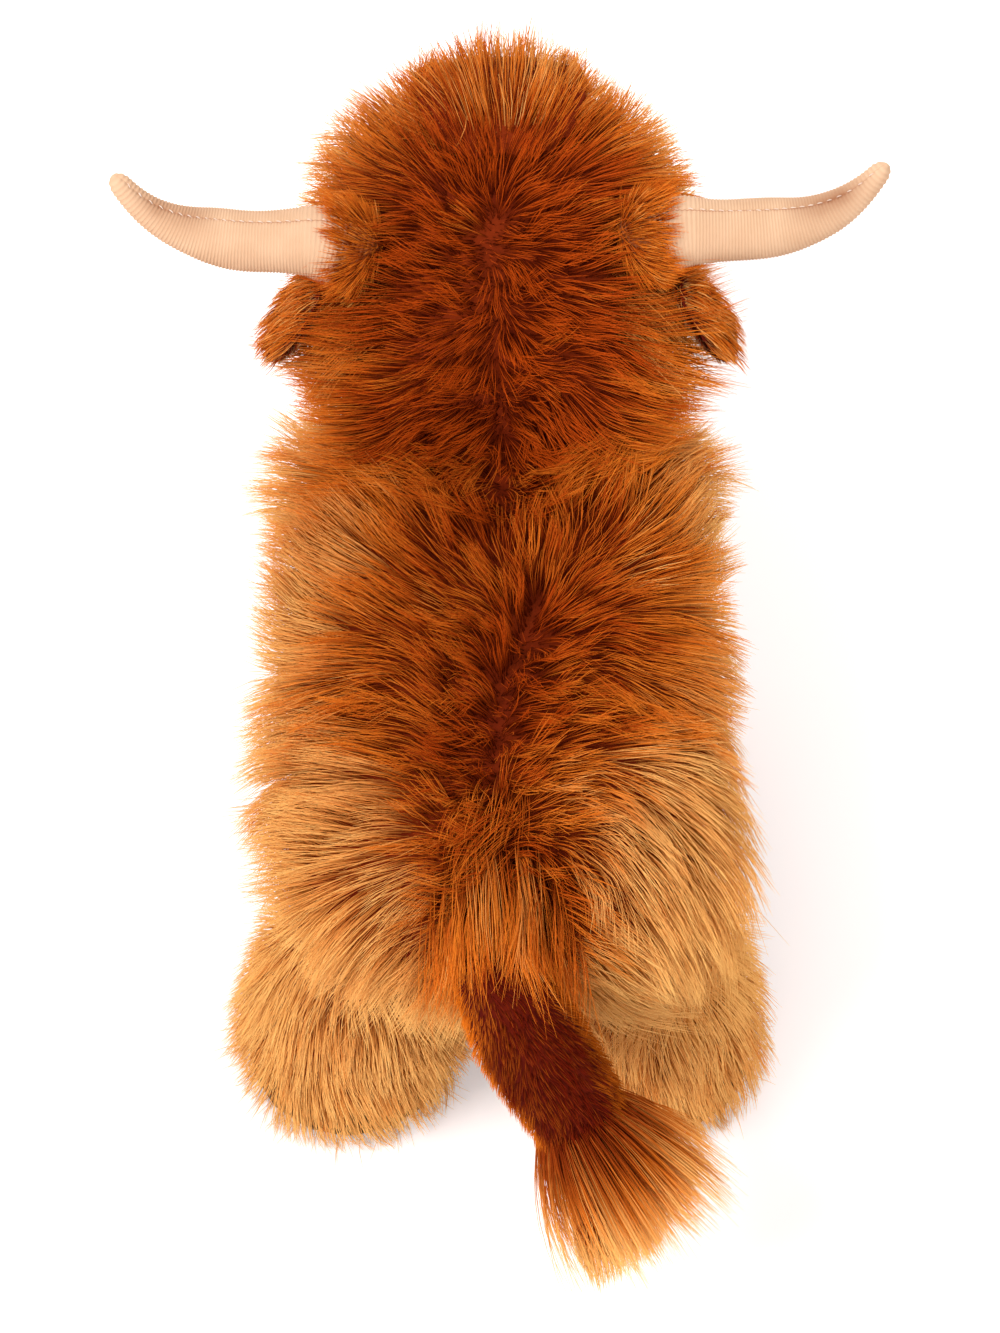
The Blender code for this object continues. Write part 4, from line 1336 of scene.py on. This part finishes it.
class Horn:
    """A horn's centre line and its radius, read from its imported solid."""

    def __init__(self, side):
        low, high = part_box(f"horn_cover_{side}")
        sign = SIDES[side]
        inner, outer = (low[0], high[0]) if sign > 0 else (high[0], low[0])
        self.sign = sign
        self.root = np.array((inner + sign * HORN_START, high[1] - HORN_RADIUS, low[2] + HORN_RADIUS))
        self.root = self.root + HORN_LIFTS[side]
        self.reach = np.array((outer - sign * HORN_END - self.root[0], -HORN_REACH, HORN_RISE))
        self.length = float(np.linalg.norm(self.reach))
        self.ribs = round(self.length / RIB_PITCH)

    def centre(self, along):
        curl = along**HORN_CURL_POWER
        spots = self.root + self.reach * np.stack([along, curl, curl], axis=-1)
        spots[..., 2] -= HORN_DIP * np.clip(1.0 - along / HORN_DIP_SHARE, 0.0, 1.0) ** 2
        return spots

    def radius(self, along):
        stations, shares = zip(*HORN_RADIUS_SHARES)
        softened = [np.interp(along + shift, stations, shares) for shift in HORN_SOFTENING]
        point = np.clip((along - HORN_TIP_SHARE) / (1.0 - HORN_TIP_SHARE), 0.0, 1.0)
        start = np.clip(1.0 - along / HORN_ROOT_SHARE, 0.0, 1.0)
        rounding = np.sqrt(1.0 - point**2) * np.sqrt(1.0 - HORN_ROOT_DRAWN_IN * start**2)
        return HORN_RADIUS * np.mean(softened, axis=0) * rounding

    def frame(self, along):
        """Directions square to the centre line: towards the seam, and beside it."""
        step = 1e-4
        run = unit(self.centre(along + step) - self.centre(np.maximum(along - step, 0.0)))
        seam = laid_flat(np.tile((0.0, 0.0, 1.0), (len(along), 1)), run)
        return seam, np.cross(run, seam)

    def rings(self, along, angle, girth):
        """Places at a distance from the centre line, at an angle from the seam."""
        seam, beside = self.frame(along)
        outward = seam * np.cos(angle)[:, None] + beside * np.sin(angle)[:, None]
        return self.centre(along) + outward * girth[:, None]

    def inner_places(self, along, around):
        """The stuffing inside the cover."""
        start, length = HORN_FIBRE_SHARES
        share = start + length * along
        rounding = np.sqrt(np.maximum(1.0 - (2.0 * along - 1.0) ** HORN_FIBRE_ROUNDING, 0.0))
        girth = self.radius(share) * HORN_FIBRE_GIRTH_SHARE * rounding
        girth = np.where((along <= 0.0) | (along >= 1.0), 0.0, girth)
        return self.rings(share, math.tau * around, girth)

    def places(self, along, around):
        """The ribbed cover, which is drawn in along its seam and a little lumpy."""
        steps = self.ribs * STEPS_A_RIB
        share = np.clip((along * steps - 1.0) / (steps - 1.0), 0.0, 1.0)
        turn = math.tau * around
        angle = turn - SEAM_CROWDING * np.sin(turn)
        radius = self.radius(share)
        from_seam = np.minimum(angle, math.tau - angle) * radius
        ways = HORN_LUMP_GIRTH * np.stack([np.cos(angle), np.sin(angle)])
        relief = RIB_DEPTH * np.cos(share * self.ribs * math.tau)
        relief = relief - SEAM_DEPTH * np.exp(-((from_seam / SEAM_WIDTH) ** 2))
        relief = relief + ripple(np.stack([self.centre(share)[:, 0], *ways], axis=1), *HORN_LUMPS)
        girth = np.maximum(radius + relief * (share < HORN_LAST_RIB_SHARE), 0.0)
        girth = np.where((along > 0.5 / steps) & (share < 1.0), girth, 0.0)
        return self.rings(share, angle, girth)

    def balls(self):
        """Round forms along the horn, for hair to lie over."""
        along = np.linspace(HORN_BARE_SHARE, HORN_BALLS_END_SHARE, HORN_BALL_COUNT)
        return list(zip(self.centre(along), self.radius(along)))


def make_stitches(side, horn):
    """Short slanting threads along the seam."""
    count = int(horn.length * STITCHED_SHARE / STITCH_PITCH)
    along = (np.arange(count) + 0.5) / count * STITCHED_SHARE + STITCHES_START_SHARE
    along = along[along > FIRST_STITCH_SHARE]
    seam, beside = horn.frame(along)
    slant = unit(np.cross(seam, beside)) + beside * STITCH_SLANT_SHARE
    girth = horn.radius(along) - SEAM_DEPTH * STITCH_SINK_SHARE
    lines = []
    for step in np.linspace(-0.5, 0.5, STITCH_STEPS):
        height = girth + STITCH_RISE * (1.0 - (2.0 * step) ** 2)
        lines.append(horn.centre(along) + height[:, None] * seam + slant * (step * STITCH_LENGTH))
    lines = np.stack(lines, axis=1)
    add_thread(f"horn_stitches_{side}", lines, STITCH_RADIUS, "horn_thread")


def make_horn(side):
    """A horn's cover with its stitches, its stuffing, and the collar of fur round its root."""
    horn = Horn(side)
    mesh = rolled(horn.ribs * STEPS_A_RIB, HORN_AROUND, horn.places)
    cover = add_piece(f"horn_{side}", mesh, "horn_cloth", "torso")
    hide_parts(f"horn_cover_{side}")
    make_stitches(side, horn)
    fibre = rolled(*HORN_FIBRE_STEPS, horn.inner_places)
    padding = add_piece(f"horn_fibre_{side}", fibre, "filling", "torso")
    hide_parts(f"horn_filling_{side}")
    make_collar(side, horn, Surface(mesh))
    return horn


def make_collar(side, horn, surface):
    """Fur round the horn's root, which feathers out over it."""
    along = (surface.middles[:, 0] - horn.root[0]) / horn.reach[0]
    run = HORN_COLLAR_RUN * (horn.sign, 1.0, 1.0)
    draw = draws("horn_collar", horn.sign)
    fringe(f"horn_collar_{side}", "horn_collar", surface, along < HORN_COLLAR_SHARE, run, draw)


# Ears


def make_ear_fringe(side, mesh):
    """Fur of the head that hangs over the ear's root."""
    surface = Surface(mesh)
    pivot = joint_place(f"ear_{side}_flap")
    offset = surface.middles - pivot
    near = np.linalg.norm(offset, axis=1) < EAR_FRINGE_REACH
    shown = near & (offset @ EDGE_FACING > EAR_FRINGE_BACK)
    middle = middle_of(f"ear_back_{side}", f"ear_lining_{side}")
    balls = [(pivot + (middle - pivot) * share + EAR_LIFT, EAR_BALL_RADIUS) for share in EAR_BALL_SHARES]
    run = EAR_FRINGE_RUN * (SIDES[side], 1.0, 1.0)
    draw = draws("ear_fringe", SIDES[side])
    fringe(f"ear_fringe_{side}", "ear_fringe", surface, shown, run, draw, balls)


def make_ear_half(node, body, cloth, facing, run, draw):
    """The back or the lining of an ear, with pile that is lighter at the rim."""
    mesh = soft_copy([node], EAR_VOXEL, EAR_SKIN_DEPTH, smoothing=4)
    mesh.transform(Matrix.Translation(EAR_LIFT))
    piece = add_piece(f"{node}_cloth", mesh, cloth, body)
    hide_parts(node)
    surface = Surface(mesh)
    shown = surface.facing @ facing > EAR_SHOWN_FACING
    lines = short_coat("ear_pile", surface, shown, run, draw)
    rim = np.linalg.norm(lines[:, 0] - middle_of(node) - EAR_LIFT, axis=1)
    at_rim = smooth_step(rim, EAR_RIM * EAR_RIM_START_SHARE, EAR_RIM)
    tones = EAR_TONES["plain"] + EAR_TONES["rim"] * at_rim
    tones = tones + draw.normal(0.0, EAR_TONES["scatter"], len(lines))
    add_hair(f"{node}_pile", lines, SHORT_HAIR_RADIUS, tones, "ear_pile", body)
    return surface, shown


def make_ear(side):
    """An ear's back with its long locks, and its lining."""
    draw = draws("ear", SIDES[side])
    body = f"ear_{side}"
    pivot = joint_place(f"ear_{side}_flap")
    back, lining = f"ear_back_{side}", f"ear_lining_{side}"
    facing = unit(middle_of(back) - middle_of(lining))
    run = unit(middle_of(back, lining) - pivot)
    surface, shown = make_ear_half(back, body, "short_backing", facing, run, draw)
    near_root = np.linalg.norm(surface.middles - pivot, axis=1) < EAR_LOCKS_REACH
    lines = short_coat("ear_locks", surface, shown & near_root, run, draw)
    tones = draw.normal(*EAR_LOCKS_TONES, len(lines))
    add_hair(f"ear_locks_{side}", lines, HAIR_RADIUS, tones, body=body)
    make_ear_half(lining, body, "backing", -facing, run, draw)


# Tail and tuft


def lean_tail(mesh):
    """Draws the tail's end in and to its right, as the stuffing pulls it."""
    root = joint_place("tail_swing")
    run = joint_place("tuft_swing") - root
    for vert in mesh.vertices:
        place = np.array(vert.co)
        share = float((place - root) @ run / (run @ run))
        axis = root + run * share
        late = float(smooth_step(share, *TAIL_NARROWING_SHARES))
        vert.co = axis + (place - axis) * (1.0 - TAIL_NARROWING * late) + TAIL_LEAN * late


def tail_tones(lines, along, run, draw):
    """Painted light: dark on top, lighter at the sides where light falls, most on the left, and a painted
    glow near the root on the left.
    """
    outward = laid_flat(lines[:, 1] - lines[:, 0], np.tile(run, (len(lines), 1)))
    aside = outward @ laid_flat(np.array([(1.0, 0.0, 0.0)]), run[None, :])[0]
    # painted light on the sides, and a painted glow near the root
    lit = smooth_step(aside, *TAIL_LIT_FACINGS) + TAIL_FAR_LIGHT_SHARE * smooth_step(-aside, *TAIL_FAR_LIT_FACINGS)
    glow = (1.0 - smooth_step(along, 0.0, TAIL_GLOW_REACH)) * smooth_step(aside, *TAIL_GLOW_FACINGS)
    tones = TAIL_TONES["dark"] + TAIL_TONES["lit"] * lit + TAIL_TONES["glow"] * glow
    tones = tones + ripple(lines[:, 0], *TAIL_RIPPLE)
    return tones + draw.normal(0.0, TAIL_TONES["scatter"], len(lines))


def make_tail():
    """The tail's cloth and its short pile, which is shorter at the root."""
    draw = draws("tail")
    root = joint_place("tail_swing")
    reach = joint_place("tuft_swing") - root
    run = unit(reach)
    mesh = soft_copy(["tail_sleeve", "tail_filling"], FINE_VOXEL, TAIL_SKIN_DEPTH)
    lean_tail(mesh)
    piece = add_piece("tail_cloth", mesh, "short_backing", "tail")
    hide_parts("tail_sleeve")
    surface = Surface(mesh)
    lines = short_coat("tail_pile", surface, surface.everywhere, reach, draw)
    lines = lines[(lines[:, 0] - root) @ run < reach @ run - TAIL_BARE_END]
    along = (lines[:, 0] - root) @ run
    tones = tail_tones(lines, along, run, draw)
    short = TAIL_ROOT_SHARE + (1.0 - TAIL_ROOT_SHARE) * smooth_step(along, *TAIL_ROOT_REACHES)
    lines = lines[:, :1] + (lines - lines[:, :1]) * short[:, None, None]
    add_hair("tail_pile", lines, SHORT_HAIR_RADIUS, tones, "short_pile", "tail")
    return mesh


def wisp_lines(places, root, draw):
    """Hair that arches from the rump to a round form over the tail's root, some of it beyond."""
    across = places[:, 0] * WISP_FAN_SHARE + ripple(places, *WISP_SWAY) - WISP_CROSSING
    across = across + draw.normal(0.0, WISP_SCATTER, len(places))
    rise = WISP_RISE - WISP_SAG * (across / WISP_RADIUS) ** 2 + draw.normal(0.0, WISP_SCATTER, len(places))
    over = np.sqrt(np.maximum(WISP_RADIUS**2 - across**2 - rise**2, 0.0))
    _, back, up = EDGE_FACING
    ends = root + np.stack([across, over * back - rise * up, over * up + rise * back], axis=1)
    bends = np.stack([ripple(places, *bend) for bend in WISP_BENDS], axis=1)
    turns = (places + ends) / 2.0 + WISP_ARCH + bends
    reaches = ragged(places, WISP_LENGTH_SHARES, WISP_RAGGED, draw)
    shares = (np.linspace(0.0, 1.0, LONG_STEPS) * reaches[:, None])[:, :, None]
    first = (1.0 - shares) ** 2 * places[:, None]
    middle = 2.0 * shares * (1.0 - shares) * turns[:, None]
    return first + middle + shares**2 * ends[:, None]


def make_wisps(mesh):
    """Long hair of the rump that hangs over the root of the tail, and short hair over the parting's end."""
    draw = draws("wisps")
    root = joint_place("tail_swing")
    surface = Surface(mesh)
    offset = surface.middles - root
    aside = np.abs(offset[:, 0])
    above = offset[:, 2] > WISP_LOWEST
    near = (aside < WISP_WIDTH) & (offset[:, 1] > -WISP_REACH) & above
    fade = 1.0 - smooth_step(aside, WISP_FADE_WIDTH, WISP_WIDTH)
    fade = fade * smooth_step(offset[:, 1], -WISP_REACH, -WISP_FADE_REACH)
    places, _ = surface.roots(np.where(near, WISP_DENSITY * fade, 0.0), draw)
    lines, tones = in_locks(wisp_lines(places, root, draw), WISP_LOCKS, draw)
    tones = tones + WISP_TONE + draw.normal(0.0, TONE_SPREAD, len(places))
    add_hair("tail_wisps", lines, HAIR_RADIUS, tones)
    start, end = PARTING_END_PLACES
    at_end = (aside < PARTING_END_WIDTH) & (offset[:, 1] > start) & (offset[:, 1] < end) & above
    fringe("parting_wisps", "parting_wisps", surface, at_end, PARTING_END_RUN, draw)


def tuft_roots(surface, tail, pivot, run, draw):
    """Places and normals of hair on the tuft's core, and closer together on the tail's end."""
    places, normals = surface.roots(np.full(len(surface.areas), TUFT_DENSITY), draw)
    at_end = (tail.middles - pivot) @ run > -TUFT_OVERLAP
    more_places, more_normals = tail.roots(np.where(at_end, TUFT_END_DENSITY, 0.0), draw)
    return np.concatenate([places, more_places]), np.concatenate([normals, more_normals])


def fanned(places, normals, ways, lengths):
    """Lines that lift off the surface at first and then run straight."""
    shares = np.linspace(0.0, 1.0, LONG_STEPS)
    lines = [places]
    for start, end in zip(shares, shares[1:]):
        lift = TUFT_LIFT * (1.0 - (start + end) / 2.0)
        heading = unit(ways + normals * lift)
        lines.append(lines[-1] + heading * (lengths * (end - start))[:, None])
    return np.stack(lines, axis=1)


def make_tuft(tail_mesh):
    """The tuft's core, and hair that fans out from inside the tail's end and is pale at its own."""
    draw = draws("tuft")
    pivot = joint_place("tuft_swing")
    mesh = soft_copy(["tail_tuft"], FINE_VOXEL, CORE_DEPTH)
    piece = add_piece("tuft_core", mesh, "backing", "tuft")
    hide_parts("tail_tuft")
    run = unit(np.array(TUFT_RUN))
    places, normals = tuft_roots(Surface(mesh), Surface(tail_mesh), pivot, run, draw)
    ways = unit(places - (pivot - run * TUFT_SOURCE))
    ways = ways + np.stack([ripple(places, *sway) for sway in TUFT_SWAYS], axis=1)
    ways = unit(ways + draw.normal(0.0, TUFT_SCATTER, ways.shape))
    lengths = np.maximum(TUFT_REACH - (places - pivot) @ run, TUFT_SHORTEST)
    lengths = lengths * ragged(places, TUFT_LENGTH_SHARES, TUFT_LENGTHS, draw)
    lines, tones = in_locks(fanned(places, normals, ways, lengths), TUFT_LOCKS, draw)
    tones = tones + ripple(places, *TUFT_RIPPLE) + draw.normal(0.0, TUFT_TONES["scatter"], len(places))
    far = smooth_step((lines - pivot) @ run, *TUFT_TONE_REACHES)
    tones = tones[:, None] + TUFT_TONES["root"] + TUFT_TONES["gain"] * far
    add_hair("tuft_hair", lines, HAIR_RADIUS, tones, body="tuft")


# Face


def toward_rear(places, rear, distances):
    """From 0 to 1 between two distances ahead of the rear edge."""
    return smooth_step(places, rear - distances[0], rear - distances[1])


def make_forelock(eyes):
    """The long fringe that falls from the crown over the forehead."""
    draw = draws("forelock")
    mesh = soft_copy(["forelock"], FINE_VOXEL, FORELOCK_DEPTH)
    piece = add_piece("forelock_core", mesh, "backing", "torso")
    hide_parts("forelock")
    low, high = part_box("forelock")
    for vert in mesh.vertices:
        vert.co.z -= FORELOCK_REAR_DROP * float(toward_rear(vert.co.y, high[1], FORELOCK_DROP_PLACES))
    surface = Surface(mesh)
    rear = toward_rear(surface.middles[:, 1], high[1], FORELOCK_REAR_PLACES)
    weights = FORELOCK_DENSITY * (1.0 + FORELOCK_REAR_DENSITY_SHARE * rear)
    places, normals = surface.roots(weights, draw)
    crown = np.array((0.0, high[1], high[2])) + FORELOCK_CROWN
    runs = laid_flat(unit(places - crown) + FORELOCK_FALL, normals)
    sway = ripple(places, *FORELOCK_SWAY) + draw.normal(0.0, FORELOCK_SWAY_SCATTER, len(places))
    lengths = FORELOCK_HAIR * ragged(places, FORELOCK_LENGTH_SHARES, FORELOCK_LENGTHS, draw)
    lengths = lengths * (FORELOCK_MIDDLE_SHARE - FORELOCK_SIDE_LOSS * (places[:, 0] / high[0]) ** 2)
    top = smooth_step(places[:, 2], low[2] + FORELOCK_TOP_HEIGHT, high[2])
    rises = FORELOCK_RISES[0] + FORELOCK_RISES[1] * top
    droops = FORELOCK_DROOPS[0] + FORELOCK_DROOPS[1] * top
    droops = droops + draw.normal(0.0, FORELOCK_DROOP_SCATTER, len(places))
    lines = hair_lines(places, normals, turned(runs, normals, sway), lengths, rises, droops, HAIR_STEPS)
    lines, tones = in_locks(lines, FORELOCK_LOCKS, draw)
    rear = toward_rear(places[:, 1], high[1], FORELOCK_TONE_PLACES)
    tones = tones + FORELOCK_TONES["front"] - FORELOCK_TONES["rear_loss"] * rear
    tones = tones + ripple(places, *FORELOCK_RIPPLE)
    tones = tones + draw.normal(0.0, FORELOCK_TONES["scatter"], len(places))
    add_hair("forelock_hair", kept_clear(lines, eyes, FORELOCK_MARGIN), HAIR_RADIUS, tones)


def muzzle_place(tree, across, height):
    """The spot on the front of the muzzle at these shares of its half width and height."""
    low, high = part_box("muzzle_cover")
    across_place = across * high[0]
    start = Vector((across_place, low[1] - MUZZLE_CLEARANCE, low[2] + (high[2] - low[2]) * height))
    spot, normal, _, _ = tree.ray_cast(start, Vector((0, 1, 0)))
    return spot, normal


def make_nostril(side, tree):
    """A felt oval, and the round form that the pile keeps clear of."""
    sign = SIDES[side]
    spot, normal = muzzle_place(tree, sign * NOSTRIL_ACROSS_SHARE, NOSTRIL_HEIGHT_SHARE)
    place = spot + normal * NOSTRIL_PROUD
    mesh = oval(place, normal, NOSTRIL_SIZE, NOSTRIL_SEGMENTS, sign * NOSTRIL_TURN)
    add_piece(f"nostril_{side}", mesh, "nostril_felt", "torso")
    return np.array(spot), NOSTRIL_SIZE[0] * NOSTRIL_BARE_SHARE


def make_mouth(tree):
    """A stitched line that curves up at its ends."""
    line = []
    for share in np.linspace(-1.0, 1.0, MOUTH_STEPS):
        height = MOUTH_HEIGHT_SHARE + MOUTH_SMILE_SHARE * share * share
        spot, normal = muzzle_place(tree, MOUTH_ACROSS_SHARE * share, height)
        line.append(np.array(spot + normal * MOUTH_PROUD))
    add_thread("mouth_thread", np.array([line]), MOUTH_RADIUS, "nostril_felt")


def make_muzzle():
    """The muzzle's cloth and pile, with its nostrils and mouth."""
    draw = draws("muzzle")
    mesh = soft_copy(["muzzle_cover", "muzzle_filling"], MUZZLE_VOXEL, MUZZLE_SKIN_DEPTH)
    piece = add_piece("muzzle_cloth", mesh, "muzzle_cloth", "torso")
    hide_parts("muzzle_cover")
    tree = tree_of(mesh)
    nostrils = [make_nostril(side, tree) for side in SIDES]
    make_mouth(tree)
    surface = Surface(mesh)
    lines = short_coat("muzzle_pile", surface, surface.everywhere, MUZZLE_RUN, draw)
    tones = draw.normal(*MUZZLE_TONES, len(lines))
    keep = outside(lines[:, 0], nostrils)
    lines = kept_clear(lines[keep], nostrils, 0.0)
    add_hair("muzzle_pile", lines, SHORT_HAIR_RADIUS, tones[keep], "muzzle_pile", "torso")


def eye_axis(side):
    """The middle of an eye's seat and the way it faces."""
    middle = middle_of(f"eye_{side}")
    facing = unit(middle - middle_of(f"eye_washer_{side}"))
    apex = (vertex_places(f"eye_{side}") @ facing).max()
    return middle + facing * (apex - middle @ facing - EYE_DOME[2]), facing


def make_eye(side):
    mesh = oval(*eye_axis(side), EYE_DOME, EYE_SEGMENTS)
    piece = add_piece(f"eye_dome_{side}", mesh, "eye_gloss", "torso")
    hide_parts(f"eye_{side}")


# Fillings, soles and washers


def make_fillings():
    for node in frame["nodes"]:
        if "filling" not in node or "horn" in node:
            continue
        mesh = soft_copy([node], FILLING_VOXEL, FILLING_DEPTH)
        body = "torso"
        if node == "tail_filling":
            lean_tail(mesh)
            body = "tail"
        piece = add_piece(f"{node}_fibre", mesh, "filling", body)
        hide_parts(node)


def make_soles():
    for node in frame["nodes"]:
        if not node.endswith("_sole"):
            continue
        mesh = soft_copy([node], SOLE_VOXEL, SOLE_DEPTH, smoothing=2)
        for vert in mesh.vertices:
            vert.co.z = max(vert.co.z, 0.0)
        piece = add_piece(f"{node}_cloth", mesh, "sole_cloth", "torso")
        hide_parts(node)


def colour_washers():
    for side in SIDES:
        washer = frame["nodes"][f"eye_washer_{side}"]
        washer.data.materials.clear()
        washer.data.materials.append(MATERIALS["washer_plastic"])


# Stage


def floor_material():
    """A pale floor that takes shadows and, for the camera alone, glows to white away from the cow."""
    material, tree, shader = new_material("pale floor", 1.0, 0.0)
    feed(tree, shader.inputs["Base Color"], FLOOR_COLOUR)
    place = add_node(tree, "ShaderNodeTexCoord").outputs["Object"]
    away = add_node(tree, "ShaderNodeVectorMath", {0: place}, operation="LENGTH").outputs["Value"]
    fade = add_node(tree, "ShaderNodeMapRange", {"Value": away, **FLOOR_GLOW}).outputs["Result"]
    glow = add_node(tree, "ShaderNodeEmission", {"Strength": fade}).outputs["Emission"]
    plain = shader.outputs["BSDF"]
    both = add_node(tree, "ShaderNodeAddShader", {0: plain, 1: glow}).outputs["Shader"]
    seen = add_node(tree, "ShaderNodeLightPath").outputs["Is Camera Ray"]
    shown = add_node(tree, "ShaderNodeMixShader", {0: seen, 1: plain, 2: both}).outputs["Shader"]
    feed(tree, tree.nodes["Material Output"].inputs["Surface"], shown)
    return material


def make_stage():
    bm = bmesh.new()
    bmesh.ops.create_grid(bm, x_segments=1, y_segments=1, size=FLOOR_HALF_WIDTH)
    floor = bpy.data.objects.new("floor", as_mesh(bm))
    bpy.context.scene.collection.objects.link(floor)
    floor.data.materials.append(floor_material())


def make_world():
    """Even light from all round, which is pure white where the camera or a mirror sees it."""
    world = bpy.data.worlds.new("studio")
    bpy.context.scene.world = world
    world.use_nodes = True
    tree = world.node_tree
    light = tree.nodes["Background"]
    feed(tree, light.inputs["Color"], WHITE)
    feed(tree, light.inputs["Strength"], WORLD_STRENGTH)
    white = add_node(tree, "ShaderNodeBackground", {"Color": WHITE, "Strength": 1.0})
    rays = add_node(tree, "ShaderNodeLightPath").outputs
    seen = rays["Is Camera Ray"]
    for ray in ("Is Glossy Ray", "Is Transmission Ray"):
        either = add_node(tree, "ShaderNodeMath", {0: seen, 1: rays[ray]}, operation="MAXIMUM")
        seen = either.outputs["Value"]
    shades = {0: seen, 1: light.outputs["Background"], 2: white.outputs["Background"]}
    mix = add_node(tree, "ShaderNodeMixShader", shades)
    feed(tree, tree.nodes["World Output"].inputs["Surface"], mix.outputs["Shader"])


def make_lights():
    for name, (place, size, power) in LAMPS.items():
        data = bpy.data.lights.new(name, "AREA")
        data.shape = "DISK"
        data.size = size
        data.energy = power
        lamp = bpy.data.objects.new(name, data)
        lamp.location = place
        lamp.rotation_euler = (-Vector(place)).to_track_quat("-Z", "Y").to_euler()
        bpy.context.scene.collection.objects.link(lamp)


def make_camera():
    back = Vector((0.0, math.cos(CAMERA_ELEVATION), math.sin(CAMERA_ELEVATION)))
    data = bpy.data.cameras.new("camera")
    data.sensor_width = SENSOR
    data.lens = LENS
    camera = bpy.data.objects.new("camera", data)
    camera.location = CAMERA_TARGET + back * CAMERA_DISTANCE
    camera.rotation_euler = (-back).to_track_quat("-Z", "Y").to_euler()
    bpy.context.scene.collection.objects.link(camera)
    bpy.context.scene.camera = camera


def main():
    bpy.context.scene.view_settings.view_transform = "Standard"
    for sides in (HAIR_SIDES, THREAD_SIDES):
        SWEEPS[sides] = sweep_tree(sides)
    make_camera()
    make_world()
    make_lights()
    make_stage()
    make_materials()
    skin = make_skin()
    horns = [make_horn(side) for side in SIDES]
    eyes = [(eye_axis(side)[0], EYE_OBSTACLE) for side in SIDES]
    make_coat(skin, horns, eyes)
    for side in SIDES:
        make_ear(side)
        make_ear_fringe(side, skin)
        make_eye(side)
    tail = make_tail()
    make_wisps(skin)
    make_tuft(tail)
    make_forelock(eyes)
    make_muzzle()
    make_fillings()
    make_soles()
    colour_washers()
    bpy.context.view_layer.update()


main()
